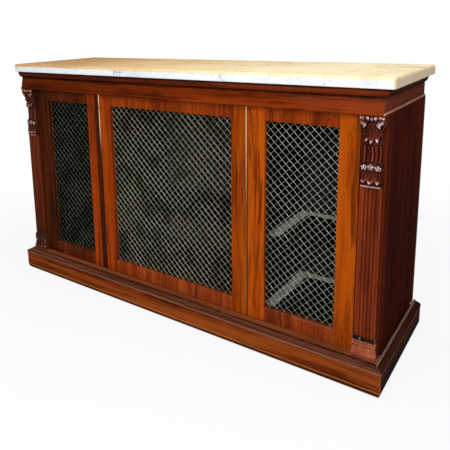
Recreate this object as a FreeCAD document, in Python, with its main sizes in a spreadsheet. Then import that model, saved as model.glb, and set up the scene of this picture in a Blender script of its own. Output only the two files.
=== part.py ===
"""Rosewood chiffonier: three grille doors between carved pilasters, under a marble top.

Frame: +Z up, front towards -Y, +X to the right, origin at the middle of the footprint on the floor.
All sizes are millimetres.  "Face" is the vertical plane of the closed doors' fronts.
"""
import FreeCAD
import Part
import math
import os
import re
import Sketcher
from FreeCAD import Vector

SIZES = [
    ("overall_height", 930, "floor to marble"),
    ("carcass_width", 1524, "outside of the side panels"),
    ("carcass_depth", 430, "door face to back boards"),
    ("marble_thickness", 32, "slab"),
    ("marble_side_overhang", 18, "slab past the cornice, ends"),
    ("marble_front_overhang", 9, "slab past the cornice, front"),
    ("marble_corner_radius", 13, "front corners in plan"),
    ("marble_top_radius", 10, "thumb-mould, upper edge"),
    ("marble_under_radius", 4, "thumb-mould, lower edge"),
    ("cornice_height", 24, "moulding under the slab"),
    ("cornice_projection", 11, "past the frieze"),
    ("frieze_height", 66, "frieze board with the cornice on it"),
    ("frieze_projection", 21, "frieze in front of the door face"),
    ("frieze_swell", 8, "belly of the front frieze board above its bead"),
    ("frieze_return_thickness", 16, "frieze boards on the ends"),
    ("frieze_inset", 5, "end frieze inside the side panel's face"),
    ("bead_height", 8, "bead worked under the frieze"),
    ("bead_projection", 4, "bead past the frieze"),
    ("plinth_height", 78, "plinth boards"),
    ("plinth_board_thickness", 22, "plinth boards"),
    ("plinth_foot_height", 20, "rounded foot of the plinth boards"),
    ("plinth_foot_inset", 10, "rounded foot of the plinth boards"),
    ("plinth_block_width", 40, "glue blocks inside the plinth"),
    ("plinth_moulding_width", 24, "moulding round the bottom board"),
    ("plinth_lip", 2, "moulding past the plinth boards"),
    ("plinth_lip_height", 3, "square lip of the moulding"),
    ("bottom_board_thickness", 18, "carcass floor"),
    ("bottom_front_ledge", 24, "carcass floor past the door face"),
    ("bottom_side_ledge", 4, "carcass floor past the side panels"),
    ("panel_thickness", 18, "side panels"),
    ("post_width", 72, "front corner posts"),
    ("post_depth", 45, "front corner posts"),
    ("partition_thickness", 18, "upright partitions"),
    ("back_board_thickness", 12, "upright back boards"),
    ("back_board_count", 7, "upright back boards"),
    ("top_board_thickness", 18, "board that the slab is bedded on"),
    ("shelf_rise", 254, "carcass floor to shelf top"),
    ("shelf_thickness", 16, "shelves"),
    ("shelf_setback", 122, "shelf behind the door face"),
    ("shelf_end_play", 0.5, "shelf's ends to the uprights"),
    ("bearer_height", 20, "shelf bearers"),
    ("bearer_thickness", 12, "shelf bearers"),
    ("door_thickness", 22, "door frames"),
    ("door_gap", 2, "between doors, above and below them"),
    ("post_gap", 1.5, "side door to post"),
    ("partition_gap", 0.6, "door's back to partition"),
    ("centre_door_width", 659, "centre door"),
    ("stile_width", 60, "door stiles"),
    ("top_rail_width", 44, "door top rails"),
    ("bottom_rail_width", 50, "door bottom rails"),
    ("tenon_length", 32, "rail tenons"),
    ("tenon_thickness", 7, "rail tenons"),
    ("tenon_shoulder", 6, "rail edge to tenon edge"),
    ("rebate_width", 8, "grille rebate"),
    ("rebate_depth", 10, "grille rebate, from the back"),
    ("wire_pitch", 18.4, "between parallel grille wires"),
    ("wire_width", 2.0, "grille wires"),
    ("wire_thickness", 1.3, "grille wires"),
    ("astragal_width", 6, "brass strips on the centre door"),
    ("astragal_projection", 2.5, "brass strips on the centre door"),
    ("pivot_inset", 14, "pivot to the door's edge"),
    ("pivot_setback", 5, "pivot behind the door face"),
    ("pivot_radius", 2.5, "pivot pins"),
    ("pivot_clearance", 0.05, "pin in its eye"),
    ("pivot_relief", 0.5, "pin in the wood beyond its eye"),
    ("pivot_plate_length", 40, "brass pivot plates"),
    ("pivot_plate_width", 8, "brass pivot plates"),
    ("pivot_plate_thickness", 3, "brass pivot plates"),
    ("pivot_reach", 10, "pin past the door plate's face"),
    ("pivot_collar_radius", 3.6, "raised collar round the pin"),
    ("pivot_collar_play", 0.3, "collar to door plate"),
    ("lock_width", 44, "lock case"),
    ("lock_height", 64, "lock case"),
    ("lock_depth", 10, "lock case"),
    ("lock_level", 450, "lock's middle above the carcass floor"),
    ("lock_clearance", 2, "lock case to partition"),
    ("lock_throw", 9, "bolt travel"),
    ("lock_bolt_height", 12, "bolt"),
    ("lock_bolt_depth", 5, "bolt"),
    ("lock_bolt_length", 32, "bolt"),
    ("bolt_play", 0.3, "bolts in their ways"),
    ("keyhole_radius", 2.6, "keyhole"),
    ("keyhole_drop", 8, "keyhole slot below its round"),
    ("keyhole_slot", 2.6, "keyhole slot width"),
    ("escutcheon_wall", 1.4, "thread escutcheon"),
    ("escutcheon_depth", 4, "thread escutcheon"),
    ("flush_bolt_radius", 3, "side doors' flush bolts"),
    ("flush_bolt_length", 90, "side doors' flush bolts"),
    ("flush_bolt_inset", 6.5, "bolt's axis behind the door's edge"),
    ("flush_bolt_throw", 9, "bolt travel"),
    ("flush_bolt_sunk", 0.5, "drawn bolt below the door's top"),
    ("flush_stud_radius", 2, "thumb stud"),
    ("strike_depth", 14, "hole for a thrown bolt"),
    ("pilaster_width", 60, "reeded shaft"),
    ("reed_count", 5, "reeds on each shaft"),
    ("reed_margin", 4, "plain edge beside the reeds"),
    ("reed_ground", 12, "shaft's edge in front of the post"),
    ("reed_rise", 4, "reed's crown above the shaft's edge"),
    ("base_height", 46, "pilaster's moulded base"),
    ("base_projection", 21, "base in front of the post"),
    ("base_width", 70, "base"),
    ("collar_height", 22, "carved leaf collar over the base"),
    ("collar_projection", 19, "collar in front of the post"),
    ("collar_width", 66, "collar"),
    ("console_height", 204, "carved console"),
    ("console_projection", 33, "top of the console in front of the post"),
    ("console_top_width", 69, "leaf"),
    ("console_neck_width", 56, "neck"),
    ("console_scroll_width", 62, "lower scroll"),
    ("console_flutes", 4, "flutes in the neck"),
    ("console_flute_radius", 3.2, "flutes in the neck"),
]

# Places and sizes that follow from the driving ones.
RULES = {
    "half": "carcass_width / 2",
    "face": "(bottom_front_ledge + plinth_moulding_width - carcass_depth) / 2",
    "back": "face + carcass_depth",
    "inner_back": "back - back_board_thickness",
    "slab_bottom": "overall_height - marble_thickness",
    "head": "slab_bottom - frieze_height - bead_height",
    "floor": "plinth_height + bottom_board_thickness",
    "frieze_half": "half - frieze_inset",
    "frieze_face": "face - frieze_projection",
    "frieze_inner": "frieze_half - frieze_return_thickness",
    "frieze_nose": "frieze_face - frieze_swell - bead_projection / 2",
    "cornice_half": "frieze_half + cornice_projection",
    "cornice_face": "frieze_face - cornice_projection",
    "slab_half": "cornice_half + marble_side_overhang",
    "slab_front": "cornice_face - marble_front_overhang",
    "board_half": "half + bottom_side_ledge",
    "board_front": "face - bottom_front_ledge",
    "lip_half": "board_half + plinth_moulding_width",
    "lip_front": "board_front - plinth_moulding_width",
    "fascia_half": "lip_half - plinth_lip",
    "fascia_front": "lip_front + plinth_lip",
    "panel_inner": "half - panel_thickness",
    "post_inner": "half - post_width",
    "joint": "(centre_door_width + door_gap) / 2",
    "partition_near": "joint - partition_thickness / 2",
    "partition_far": "joint + partition_thickness / 2",
    "partition_front": "face + door_thickness + partition_gap",
    "door_low": "floor + door_gap",
    "door_high": "head - door_gap",
    "door_back": "face + door_thickness",
    "opening_low": "door_low + bottom_rail_width",
    "opening_high": "door_high - top_rail_width",
    "rebate_front": "door_back - rebate_depth",
    "shelf_top": "floor + shelf_rise",
    "shelf_low": "shelf_top - shelf_thickness",
    "shelf_front": "face + shelf_setback",
    "pivot_line": "face + pivot_setback",
    "shaft_axis": "half - post_width / 2",
    "base_top": "floor + base_height",
    "collar_top": "base_top + collar_height",
    "console_low": "head - door_gap / 2 - console_height",
    "lock_middle": "floor + lock_level",
    "lock_right": "partition_near - lock_clearance",
    "lock_axis": "lock_right - lock_width / 2 + 12",
}

doc = FreeCAD.newDocument("chiffonier")
sheet = doc.addObject("Spreadsheet::Sheet", "sheet")
for row, (alias, size, meaning) in enumerate(SIZES, 1):
    sheet.set("A%d" % row, meaning)
    sheet.set("B%d" % row, str(size))
    sheet.setAlias("B%d" % row, alias)
doc.recompute()

ALIASES = {alias for alias, size, meaning in SIZES}
WORD = re.compile(r"[a-z_]+")
nodes = {}


def full(text):
    """Write a formula out in the sheet's own cells."""
    text = str(text)
    while any(word in RULES for word in WORD.findall(text)):
        text = WORD.sub(lambda m: "(" + RULES[m.group()] + ")" if m.group() in RULES else m.group(), text)
    return WORD.sub(lambda m: "sheet." + m.group() if m.group() in ALIASES else m.group(), text)


def value(text):
    """The present value of a formula."""
    return float(sheet.evalExpression(full(text)))


def node(name, solid):
    """Name a finished sub-part."""
    solid.Label = name
    nodes[name] = solid
    return solid


# ---- solids bound to the sheet -------------------------------------------------------------------

def box(name, x, y, z):
    """A square block between two formulas on each axis."""
    solid = doc.addObject("Part::Box", name)
    for size, axis, (low, high) in (("Length", "x", x), ("Width", "y", y), ("Height", "z", z)):
        solid.setExpression(size, full("(%s) - (%s)" % (high, low)))
        solid.setExpression("Placement.Base." + axis, full(low))
    return solid


TURN = {"x": Vector(0, 1, 0), "y": Vector(-1, 0, 0)}


def rod(name, axis, centre, radius, low, high):
    """A round bar along one axis; centre gives its other two coordinates, in X, Y, Z order."""
    solid = doc.addObject("Part::Cylinder", name)
    if axis in TURN:
        solid.Placement.Rotation = FreeCAD.Rotation(TURN[axis], 90)
    solid.setExpression("Radius", full(radius))
    solid.setExpression("Height", full("(%s) - (%s)" % (high, low)))
    places = dict(zip([letter for letter in "xyz" if letter != axis], centre))
    places[axis] = low
    for letter, place in places.items():
        solid.setExpression("Placement.Base." + letter, full(place))
    return solid


def arc_edge(start, end, radius):
    """An arc from start to end; a positive radius bulges to the right of the way it runs."""
    chord = end - start
    half_chord = chord.Length / 2
    reach = math.sqrt(max(radius * radius - half_chord * half_chord, 0))
    left = Vector(-chord.y, chord.x, 0).normalize()
    centre = (start + end) / 2 + left * math.copysign(reach, radius)
    first, last = (start, end) if radius > 0 else (end, start)
    circle = Part.Circle(centre, Vector(0, 0, 1), abs(radius))
    return Part.ArcOfCircle(circle, circle.parameter(first), circle.parameter(last))


def outline(body, plane, corners, arcs, lift):
    """A closed sketch on an origin plane; arcs gives the radius of the edge after a corner."""
    sketch = body.newObject("Sketcher::SketchObject", body.Name + "_outline")
    origin_plane = [feature for feature in body.Origin.OriginFeatures if feature.Role == plane][0]
    sketch.AttachmentSupport = (origin_plane, [""])
    sketch.MapMode = "FlatFace"
    sketch.setExpression("AttachmentOffset.Base.z", full(lift))
    points = [Vector(value(u), value(v), 0) for u, v in corners]
    ends = []
    for index, start in enumerate(points):
        end = points[(index + 1) % len(points)]
        if index in arcs:
            radius = value(arcs[index])
            sketch.addGeometry(arc_edge(start, end, radius))
            ends.append((1, 2) if radius > 0 else (2, 1))
        else:
            sketch.addGeometry(Part.LineSegment(start, end))
            ends.append((1, 2))
    for index in range(len(points)):
        following = (index + 1) % len(points)
        sketch.addConstraint(Sketcher.Constraint("Coincident", index, ends[index][1],
                                                 following, ends[following][0]))
    for index, (u, v) in enumerate(corners):
        for kind, formula in (("DistanceX", u), ("DistanceY", v)):
            number = sketch.addConstraint(Sketcher.Constraint(kind, -1, 1, index, ends[index][0],
                                                              value(formula)))
            sketch.setExpression("Constraints[%d]" % number, full(formula))
    for index, radius in arcs.items():
        number = sketch.addConstraint(Sketcher.Constraint("Radius", index, abs(value(radius))))
        sketch.setExpression("Constraints[%d]" % number, full("abs(%s)" % radius))
    return sketch


NORMAL = {"XY_Plane": 1, "XZ_Plane": -1, "YZ_Plane": 1}


def prism(name, plane, corners, low, high, arcs=None):
    """An outline padded between two levels along its plane's axis."""
    body = doc.addObject("PartDesign::Body", name)
    lift = low if NORMAL[plane] > 0 else "-(%s)" % high
    sketch = outline(body, plane, corners, arcs or {}, lift)
    pad = body.newObject("PartDesign::Pad", name + "_pad")
    pad.Profile = sketch
    pad.setExpression("Length", full("(%s) - (%s)" % (high, low)))
    body.Tip = pad
    return body


def join(kind, name, pieces):
    """Fuse, common or compound of several pieces."""
    result = doc.addObject(kind, name)
    if kind == "Part::Compound":
        result.Links = pieces
    else:
        result.Shapes = pieces
    return result


def cut(name, base, tools):
    """A base with one or more tools taken away."""
    result = doc.addObject("Part::Cut", name)
    result.Base = base
    result.Tool = tools[0] if len(tools) == 1 else join("Part::Compound", name + "_tools", tools)
    return result


def common(name, first, second):
    """What two solids share."""
    return join("Part::MultiCommon", name, [first, second])


def fuse(name, pieces):
    """One solid from several pieces."""
    result = join("Part::MultiFuse", name, pieces)
    result.Refine = True
    return result


def group(name, pieces):
    """Separate solids that are one sub-part."""
    return join("Part::Compound", name, pieces)


def mirrored(sign, formula):
    """A formula on the left or the right side of the middle."""
    return "(%d) * (%s)" % (sign, formula)


def span(sign, near, far):
    """Low and high formulas of a stretch given outwards from the middle."""
    return (near, far) if sign > 0 else ("-(%s)" % far, "-(%s)" % near)


SIDES = (("left", -1), ("right", 1))


# ---- marble --------------------------------------------------------------------------------------

def marble_top():
    """A slab with thumb-moulded edges, bedded on the top board; its back edge is square."""
    radius = "marble_corner_radius"
    inset = "(slab_half - %s)" % radius
    bend = "(slab_front + %s)" % radius
    corners = [("-" + inset, "slab_front"), (inset, "slab_front"), ("slab_half", bend),
               ("slab_half", "back"), ("-slab_half", "back"), ("-slab_half", bend)]
    body = prism("marble", "XY_Plane", corners, "slab_bottom", "overall_height", {1: radius, 5: radius})
    doc.recompute()
    for name, level, size in (("upper", "overall_height", "marble_top_radius"),
                              ("under", "slab_bottom", "marble_under_radius")):
        edges = []
        for number, edge in enumerate(body.Tip.Shape.Edges, 1):
            bounds = edge.BoundBox
            flat = abs(bounds.ZMin - value(level)) < 0.01 and abs(bounds.ZMax - value(level)) < 0.01
            if flat and bounds.YMin < value("back") - 1:
                edges.append("Edge%d" % number)
        base = body.Tip
        fillet = body.newObject("PartDesign::Fillet", "marble_" + name)
        fillet.Base = (base, edges)
        fillet.setExpression("Radius", full(size))
        body.Tip = fillet
        doc.recompute()
    node("marble_top", body)


# ---- cornice, frieze and their mitres ------------------------------------------------------------

def mitred(name, inner, outer, low, high, section, arcs):
    """A front run and two returns round three sides of the carcass.

    inner and outer are (half width, front) formulas; section is (way out, height) corners.
    """
    (inner_half, inner_front), (outer_half, outer_front) = inner, outer
    front_plan = prism(name + "_front_plan", "XY_Plane",
                       [("-(%s)" % outer_half, outer_front), (outer_half, outer_front),
                        (inner_half, inner_front), ("-(%s)" % inner_half, inner_front)], low, high)
    across = [("%s - (%s)" % (inner_front, out), up) for out, up in section]
    flipped = {index: "-(%s)" % radius for index, radius in arcs.items()}
    run = prism(name + "_front_run", "YZ_Plane", across,
                "-(%s) - 1" % outer_half, "%s + 1" % outer_half, flipped)
    node(name + "_front", common(name + "_front", front_plan, run))
    returns = []
    for side, sign in SIDES:
        plan = prism("%s_%s_plan" % (name, side), "XY_Plane",
                     [(mirrored(sign, outer_half), outer_front), (mirrored(sign, outer_half), "back"),
                      (mirrored(sign, inner_half), "back"), (mirrored(sign, inner_half), inner_front)],
                     low, high)
        along = [(mirrored(sign, "%s + %s" % (inner_half, out)), up) for out, up in section]
        bends = arcs if sign > 0 else flipped
        side_run = prism("%s_%s_run" % (name, side), "XZ_Plane", along, "%s - 1" % outer_front, "back + 1",
                         bends)
        returns.append(common("%s_%s" % (name, side), plan, side_run))
    node(name + "_returns", group(name + "_returns", returns))


def cornice():
    """A small ovolo moulding planted on the frieze under the slab."""
    low = "slab_bottom - cornice_height"
    out = "cornice_projection"
    section = [("0", low), (out + " * 0.15", low), (out + " * 0.8", low + " + cornice_height * 0.5"),
               (out, low + " + cornice_height * 0.5"), (out, "slab_bottom"), ("0", "slab_bottom")]
    mitred("cornice", ("frieze_half", "frieze_face"), ("cornice_half", "cornice_face"),
           low, "slab_bottom", section, {1: "cornice_height * 0.52"})


def frieze():
    """Frieze boards, mitred at the front, with a bead worked along their lower edge.

    The front board bellies out between the cornice and its bead; the ends are flat and thinner.
    """
    nose_low = "head"
    nose_high = "head + bead_height"
    bead_radius = "bead_height * 0.55"
    for side, sign in (("front", 0),) + SIDES:
        if sign == 0:
            plan = [("-frieze_half", "frieze_nose"), ("frieze_half", "frieze_nose"),
                    ("frieze_half", "frieze_face"), ("frieze_inner", "face"), ("-frieze_inner", "face"),
                    ("-frieze_half", "frieze_face")]
            section = [("face", nose_low), ("face", "slab_bottom"), ("frieze_face", "slab_bottom"),
                       ("frieze_face", "slab_bottom - cornice_height"),
                       ("frieze_face - frieze_swell", nose_high), ("frieze_nose + 1", nose_high),
                       ("frieze_nose + 1", nose_low)]
            drop = "(slab_bottom - cornice_height - %s)" % nose_high
            belly = "(%s * %s + frieze_swell * frieze_swell) / (2 * frieze_swell)" % (drop, drop)
            run = prism("frieze_front_run", "YZ_Plane", section, "-half - 20", "half + 20",
                        {3: belly, 5: bead_radius})
        else:
            edge = "frieze_half + bead_projection"
            plan = [(mirrored(sign, edge), "frieze_nose"), (mirrored(sign, edge), "back"),
                    (mirrored(sign, "frieze_inner"), "back"), (mirrored(sign, "frieze_inner"), "face"),
                    (mirrored(sign, "frieze_half"), "frieze_face"),
                    (mirrored(sign, "frieze_half"), "frieze_nose")]
            across = [("frieze_inner", nose_low), ("frieze_inner", "slab_bottom"),
                      ("frieze_half", "slab_bottom"), ("frieze_half", nose_high),
                      (edge + " - 1", nose_high), (edge + " - 1", nose_low)]
            section = [(mirrored(sign, out), up) for out, up in across]
            radius = "-(%s)" % bead_radius if sign > 0 else bead_radius
            run = prism("frieze_%s_run" % side, "XZ_Plane", section, "frieze_face - 20", "back + 1",
                        {4: radius})
        solid = prism("frieze_%s_plan" % side, "XY_Plane", plan, "head", "slab_bottom")
        yield common("frieze_" + side, solid, run)


# ---- carcass -------------------------------------------------------------------------------------

def strike_holes():
    """Holes in the front rail for the upper pivot plates, pins and flush bolts."""
    holes = []
    for door in DOORS:
        holes.append(pivot_seat(door, "rail", "head", "head + pivot_plate_thickness"))
    for side, sign in SIDES:
        axis = mirrored(sign, "joint + door_gap / 2 + flush_bolt_inset")
        holes.append(rod("strike_" + side, "z", (axis, "face + door_thickness / 2"),
                         "flush_bolt_radius + bolt_play", "head", "head + strike_depth"))
    return holes


def carcass():
    """Uprights, rail, top and bottom boards, back boards, shelves and their bearers."""
    rail = box("rail_blank", ("-frieze_inner", "frieze_inner"), ("face", "partition_front"),
               ("head", "slab_bottom - top_board_thickness"))
    node("front_rail", cut("front_rail", rail, strike_holes()))
    node("top_board", box("top_board", ("-frieze_inner", "frieze_inner"), ("face", "inner_back"),
                          ("slab_bottom - top_board_thickness", "slab_bottom")))
    floor_seats = [pivot_seat(door, "floor", "floor - pivot_plate_thickness", "floor") for door in DOORS]
    board = box("bottom_blank", ("-board_half", "board_half"), ("board_front", "inner_back"),
                ("plinth_height", "floor"))
    node("bottom_board", cut("bottom_board", board, floor_seats))
    for side, sign in SIDES:
        node("side_panel_" + side, box("side_panel_" + side, span(sign, "panel_inner", "half"),
                                       ("face + post_depth", "inner_back"), ("floor", "head")))
        node("post_" + side, box("post_" + side, span(sign, "post_inner", "half"),
                                 ("face", "face + post_depth"), ("floor", "head")))
        partition = box("partition_%s_blank" % side, span(sign, "partition_near", "partition_far"),
                        ("partition_front", "inner_back"),
                        ("floor", "slab_bottom - top_board_thickness"))
        if sign > 0:
            mortise = box("lock_mortise", ("partition_near - 1", "lock_right + lock_throw + 1"),
                          ("door_back + lock_depth / 2 - lock_bolt_depth / 2 - 2 * bolt_play",
                           "door_back + lock_depth / 2 + lock_bolt_depth / 2 + 2 * bolt_play"),
                          ("lock_middle - lock_bolt_height / 2 - 3 * bolt_play",
                           "lock_middle + lock_bolt_height / 2 + 3 * bolt_play"))
            partition = cut("partition_right", partition, [mortise])
        node("partition_" + side, partition)
    boards = []
    for number in range(int(value("back_board_count"))):
        step = "2 * half / back_board_count"
        boards.append(box("back_board_%d" % number, ("-half + %s * %d" % (step, number),
                                                     "-half + %s * %d" % (step, number + 1)),
                          ("inner_back", "back"), ("plinth_height", "head")))
    boards.append(box("back_head_board", ("-frieze_inner", "frieze_inner"), ("inner_back", "back"),
                      ("head", "slab_bottom")))
    node("back_boards", group("back_boards", boards))
    shelves()


def shelves():
    """One shelf in each compartment, on bearers screwed to the uprights."""
    depth = ("shelf_front", "inner_back")
    level = ("shelf_low", "shelf_top")
    reach = "partition_near - shelf_end_play"
    node("shelf_centre", box("shelf_centre", ("-(%s)" % reach, reach), depth, level))
    side_shelves = []
    bearers = []
    for side, sign in SIDES:
        bay = span(sign, "partition_far + shelf_end_play", "panel_inner - shelf_end_play")
        side_shelves.append(box("shelf_" + side, bay, depth, level))
        seats = (("partition_near - bearer_thickness", "partition_near"),
                 ("partition_far", "partition_far + bearer_thickness"),
                 ("panel_inner - bearer_thickness", "panel_inner"))
        for number, (near, far) in enumerate(seats):
            bearers.append(box("bearer_%s_%d" % (side, number), span(sign, near, far), depth,
                               ("shelf_low - bearer_height", "shelf_low")))
    node("side_shelves", group("side_shelves", side_shelves))
    node("shelf_bearers", group("shelf_bearers", bearers))


# ---- plinth --------------------------------------------------------------------------------------

def plinth():
    """Mitred plinth boards with a rounded foot, glue blocks, and the moulding round the bottom board."""
    wall = "plinth_board_thickness"
    level = ("0", "plinth_height")
    foot = "plinth_foot_inset"
    rise = "plinth_foot_height"
    section = [("0", "0"), (wall + " - " + foot, "0"), (wall, rise), (wall, "plinth_height"),
               ("0", "plinth_height")]
    turn = "(%s * %s + %s * %s) / (2 * %s)" % (rise, rise, foot, foot, foot)
    mitred("plinth", ("fascia_half - " + wall, "fascia_front + " + wall), ("fascia_half", "fascia_front"),
           "0", "plinth_height", section, {1: turn})
    node("plinth_back", box("plinth_back", ("-fascia_half + " + wall, "fascia_half - " + wall),
                            ("back - " + wall, "back"), level))
    blocks = []
    fronts = ("fascia_front + " + wall, "fascia_front + %s + plinth_block_width" % wall)
    rears = ("back - %s - plinth_block_width" % wall, "back - " + wall)
    corner = ("fascia_half - %s - plinth_block_width" % wall, "fascia_half - " + wall)
    middle = ("joint - plinth_block_width / 2", "joint + plinth_block_width / 2")
    for place, run in (("corner", corner), ("middle", middle)):
        for side, sign in SIDES:
            blocks.append(box("block_front_%s_%s" % (place, side), span(sign, *run), fronts, level))
            blocks.append(box("block_rear_%s_%s" % (place, side), span(sign, *run), rears, level))
    node("plinth_blocks", group("plinth_blocks", blocks))
    lip_top = "plinth_height + plinth_lip_height"
    swell = "(floor - plinth_height - plinth_lip_height)"
    wide = "plinth_moulding_width"
    section = [("0", "plinth_height"), (wide, "plinth_height"), (wide, lip_top),
               (wide + " * 0.5", lip_top + " + %s * 0.55" % swell),
               (wide + " * 0.12", "floor"), ("0", "floor")]
    mitred("plinth_moulding", ("board_half", "board_front"), ("lip_half", "lip_front"),
           "plinth_height", "floor", section,
           {2: wide + " * 0.62", 3: "-(%s * 0.7)" % wide})


# ---- pilasters -----------------------------------------------------------------------------------

def three_way(name, side, sign, side_profile, side_arcs, front_profile, front_arcs, low, high, deep):
    """A block moulded alike on its front and both flanks.

    side_profile is (in front of the post, height); front_profile is (half width, height), going up.
    """
    cheek = prism("%s_%s_cheek" % (name, side), "YZ_Plane",
                  [("face - (%s)" % out, up) for out, up in side_profile],
                  mirrored(sign, "shaft_axis") + " - post_width", mirrored(sign, "shaft_axis") + " + post_width",
                  {index: "-(%s)" % radius for index, radius in side_arcs.items()})
    count = len(front_profile)
    right = [("%s + %s" % (mirrored(sign, "shaft_axis"), out), up) for out, up in front_profile]
    left = [("%s - (%s)" % (mirrored(sign, "shaft_axis"), out), up) for out, up in reversed(front_profile)]
    arcs = dict(front_arcs)
    for index, radius in front_arcs.items():
        arcs[2 * count - 2 - index] = radius
    front = prism("%s_%s_front" % (name, side), "XZ_Plane", right + left, "face - (%s) - 1" % deep,
                  "face + 1", arcs)
    return common("%s_%s" % (name, side), cheek, front)


def pilaster_base(side, sign):
    """A square step, a block that widens downwards, a fillet, and a carved leaf collar over them."""
    out = "base_projection"
    top = "base_top"
    steps = ((0.0, 0.0), (0.32, 0.0), (0.34, 0.08), (0.78, 0.22), (0.79, 0.33), (0.86, 0.33), (0.87, 0.12),
             (1.0, 0.12))
    side_profile = [("0", "floor")]
    side_profile += [("%s * %g" % (out, 1 - back), "floor + base_height * %g" % up) for up, back in steps]
    side_profile += [("0", top)]
    front_profile = [("base_width / 2 - %s * %g" % (out, back), "floor + base_height * %g" % up)
                     for up, back in steps]
    block = three_way("base", side, sign, side_profile, {}, front_profile, {}, "floor", top, out)
    axis = mirrored(sign, "shaft_axis")
    leaves = 3
    leaf = "collar_width / %d" % leaves
    corners = [(axis + " + collar_width / 2", "face"), (axis + " - collar_width / 2", "face")]
    corners += [("%s - collar_width / 2 + %s * %d" % (axis, leaf, number), "face - collar_projection + 3")
                for number in range(leaves + 1)]
    bends = {2 + number: leaf + " * 0.62" for number in range(leaves)}
    lobes = prism("collar_%s_lobes" % side, "XY_Plane", corners, top, "collar_top", bends)
    profile = [("face", top), ("face", "collar_top"), ("face - collar_projection * 0.7", "collar_top"),
               ("face - collar_projection", top + " + collar_height * 0.25"),
               ("face - collar_projection * 0.9", top)]
    bell = prism("collar_%s_bell" % side, "YZ_Plane", profile, axis + " - base_width",
                 axis + " + base_width", {2: "collar_height * 0.75"})
    return fuse("pilaster_base_" + side, [block, common("collar_" + side, lobes, bell)])


def pilaster_shaft(side, sign):
    """A reeded shaft glued to the post between the collar and the console."""
    axis = mirrored(sign, "shaft_axis")
    reeds = int(value("reed_count"))
    reed = "(pilaster_width - 2 * reed_margin) / reed_count"
    ground = "face - reed_ground"
    corners = [(axis + " + pilaster_width / 2", "face"), (axis + " - pilaster_width / 2", "face"),
               (axis + " - pilaster_width / 2", ground)]
    corners += [("%s - pilaster_width / 2 + reed_margin + %s * %d" % (axis, reed, number), ground)
                for number in range(reeds + 1)]
    corners += [(axis + " + pilaster_width / 2", ground)]
    crown = "((%s) * (%s) / 4 + reed_rise * reed_rise) / (2 * reed_rise)" % (reed, reed)
    bends = {3 + number: crown for number in range(reeds)}
    return prism("pilaster_shaft_" + side, "XY_Plane", corners, "collar_top", "console_low", bends)


def console(side, sign):
    """A carved truss: astragal, lower scroll, fluted hollow neck and a leaf that curls forward."""
    deep = "console_projection"
    tall = "console_height"

    def at(out, up):
        return ("%s * %g" % (deep, out), "console_low + %s * %g" % (tall, up))

    side_profile = [("0", "console_low"), at(0.6, 0), at(0.6, 0.04), at(0.54, 0.05), at(0.64, 0.29),
                    at(0.44, 0.34), at(0.4, 0.56), at(0.5, 0.57), at(0.72, 0.68), at(0.6, 0.72),
                    at(0.99, 0.94), at(1, 1), ("0", "console_low + " + tall)]
    side_arcs = {3: tall + " * 0.15", 5: "-(%s * 0.8)" % tall, 7: tall + " * 0.078",
                 9: "-(%s * 0.24)" % tall}
    front_profile = [(half_width, "console_low + %s * %g" % (tall, up)) for half_width, up in (
        ("pilaster_width / 2 + 1", 0), ("pilaster_width / 2 + 1", 0.04), ("console_neck_width / 2", 0.05),
        ("console_neck_width / 2", 0.3), ("console_neck_width / 2", 0.58),
        ("console_top_width / 2 - 3", 0.66), ("console_top_width / 2", 0.84), ("console_top_width / 2", 1))]
    swell = "console_scroll_width / 2 - console_neck_width / 2"
    half_chord = "%s * 0.125" % tall
    front_arcs = {2: "((%s) * (%s) + (%s) * (%s)) / (2 * (%s))" % (half_chord, half_chord, swell, swell, swell)}
    blank = three_way("console", side, sign, side_profile, side_arcs, front_profile, front_arcs,
                      "console_low", "console_low + " + tall, deep)
    count = int(value("console_flutes"))
    pitch = "console_neck_width / %d" % (count + 1)
    flutes = [rod("flute_%s_%d" % (side, number), "z",
                  ("%s - console_neck_width / 2 + %s * %d" % (mirrored(sign, "shaft_axis"), pitch, number),
                   "face - %s * 0.41" % deep),
                  "console_flute_radius", "console_low + %s * 0.345" % tall, "console_low + %s * 0.55" % tall)
              for number in range(1, count + 1)]
    return cut("console_" + side + "_carved", blank, flutes)


# ---- doors ---------------------------------------------------------------------------------------

# Name, left and right edges, and the side its pivots are on.
DOORS = (
    ("left", "-(post_inner - post_gap)", "-(joint + door_gap / 2)", -1),
    ("centre", "-(centre_door_width / 2)", "centre_door_width / 2", -1),
    ("right", "joint + door_gap / 2", "post_inner - post_gap", 1),
)


def pivot_place(door):
    """The pivot's X, and the way from the door's edge towards its middle."""
    name, left, right, hinge = door
    return ("%s + pivot_inset" % left, 1) if hinge < 0 else ("%s - pivot_inset" % right, -1)


def pivot_strip(door, tag, low, high):
    """The outline of a pivot plate or of its seat, running from the pivot into the door."""
    axis, way = pivot_place(door)
    near = "%s - %d * pivot_plate_width / 2" % (axis, way)
    far = "%s + %d * (pivot_plate_length - pivot_plate_width / 2)" % (axis, way)
    stretch = (near, far) if way > 0 else (far, near)
    return box("%s_%s_strip" % (door[0], tag), stretch,
               ("pivot_line - pivot_plate_width / 2", "pivot_line + pivot_plate_width / 2"), (low, high))


def pivot_seat(door, tag, low, high):
    """The recess that a pivot plate is let into."""
    return pivot_strip(door, tag + "_seat", low, high)


def pivot_rod(door, tag, radius, low, high):
    """A cylinder on the door's pivot axis."""
    axis, way = pivot_place(door)
    return rod("%s_%s_round" % (door[0], tag), "z", (axis, "pivot_line"), radius, low, high)


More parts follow.
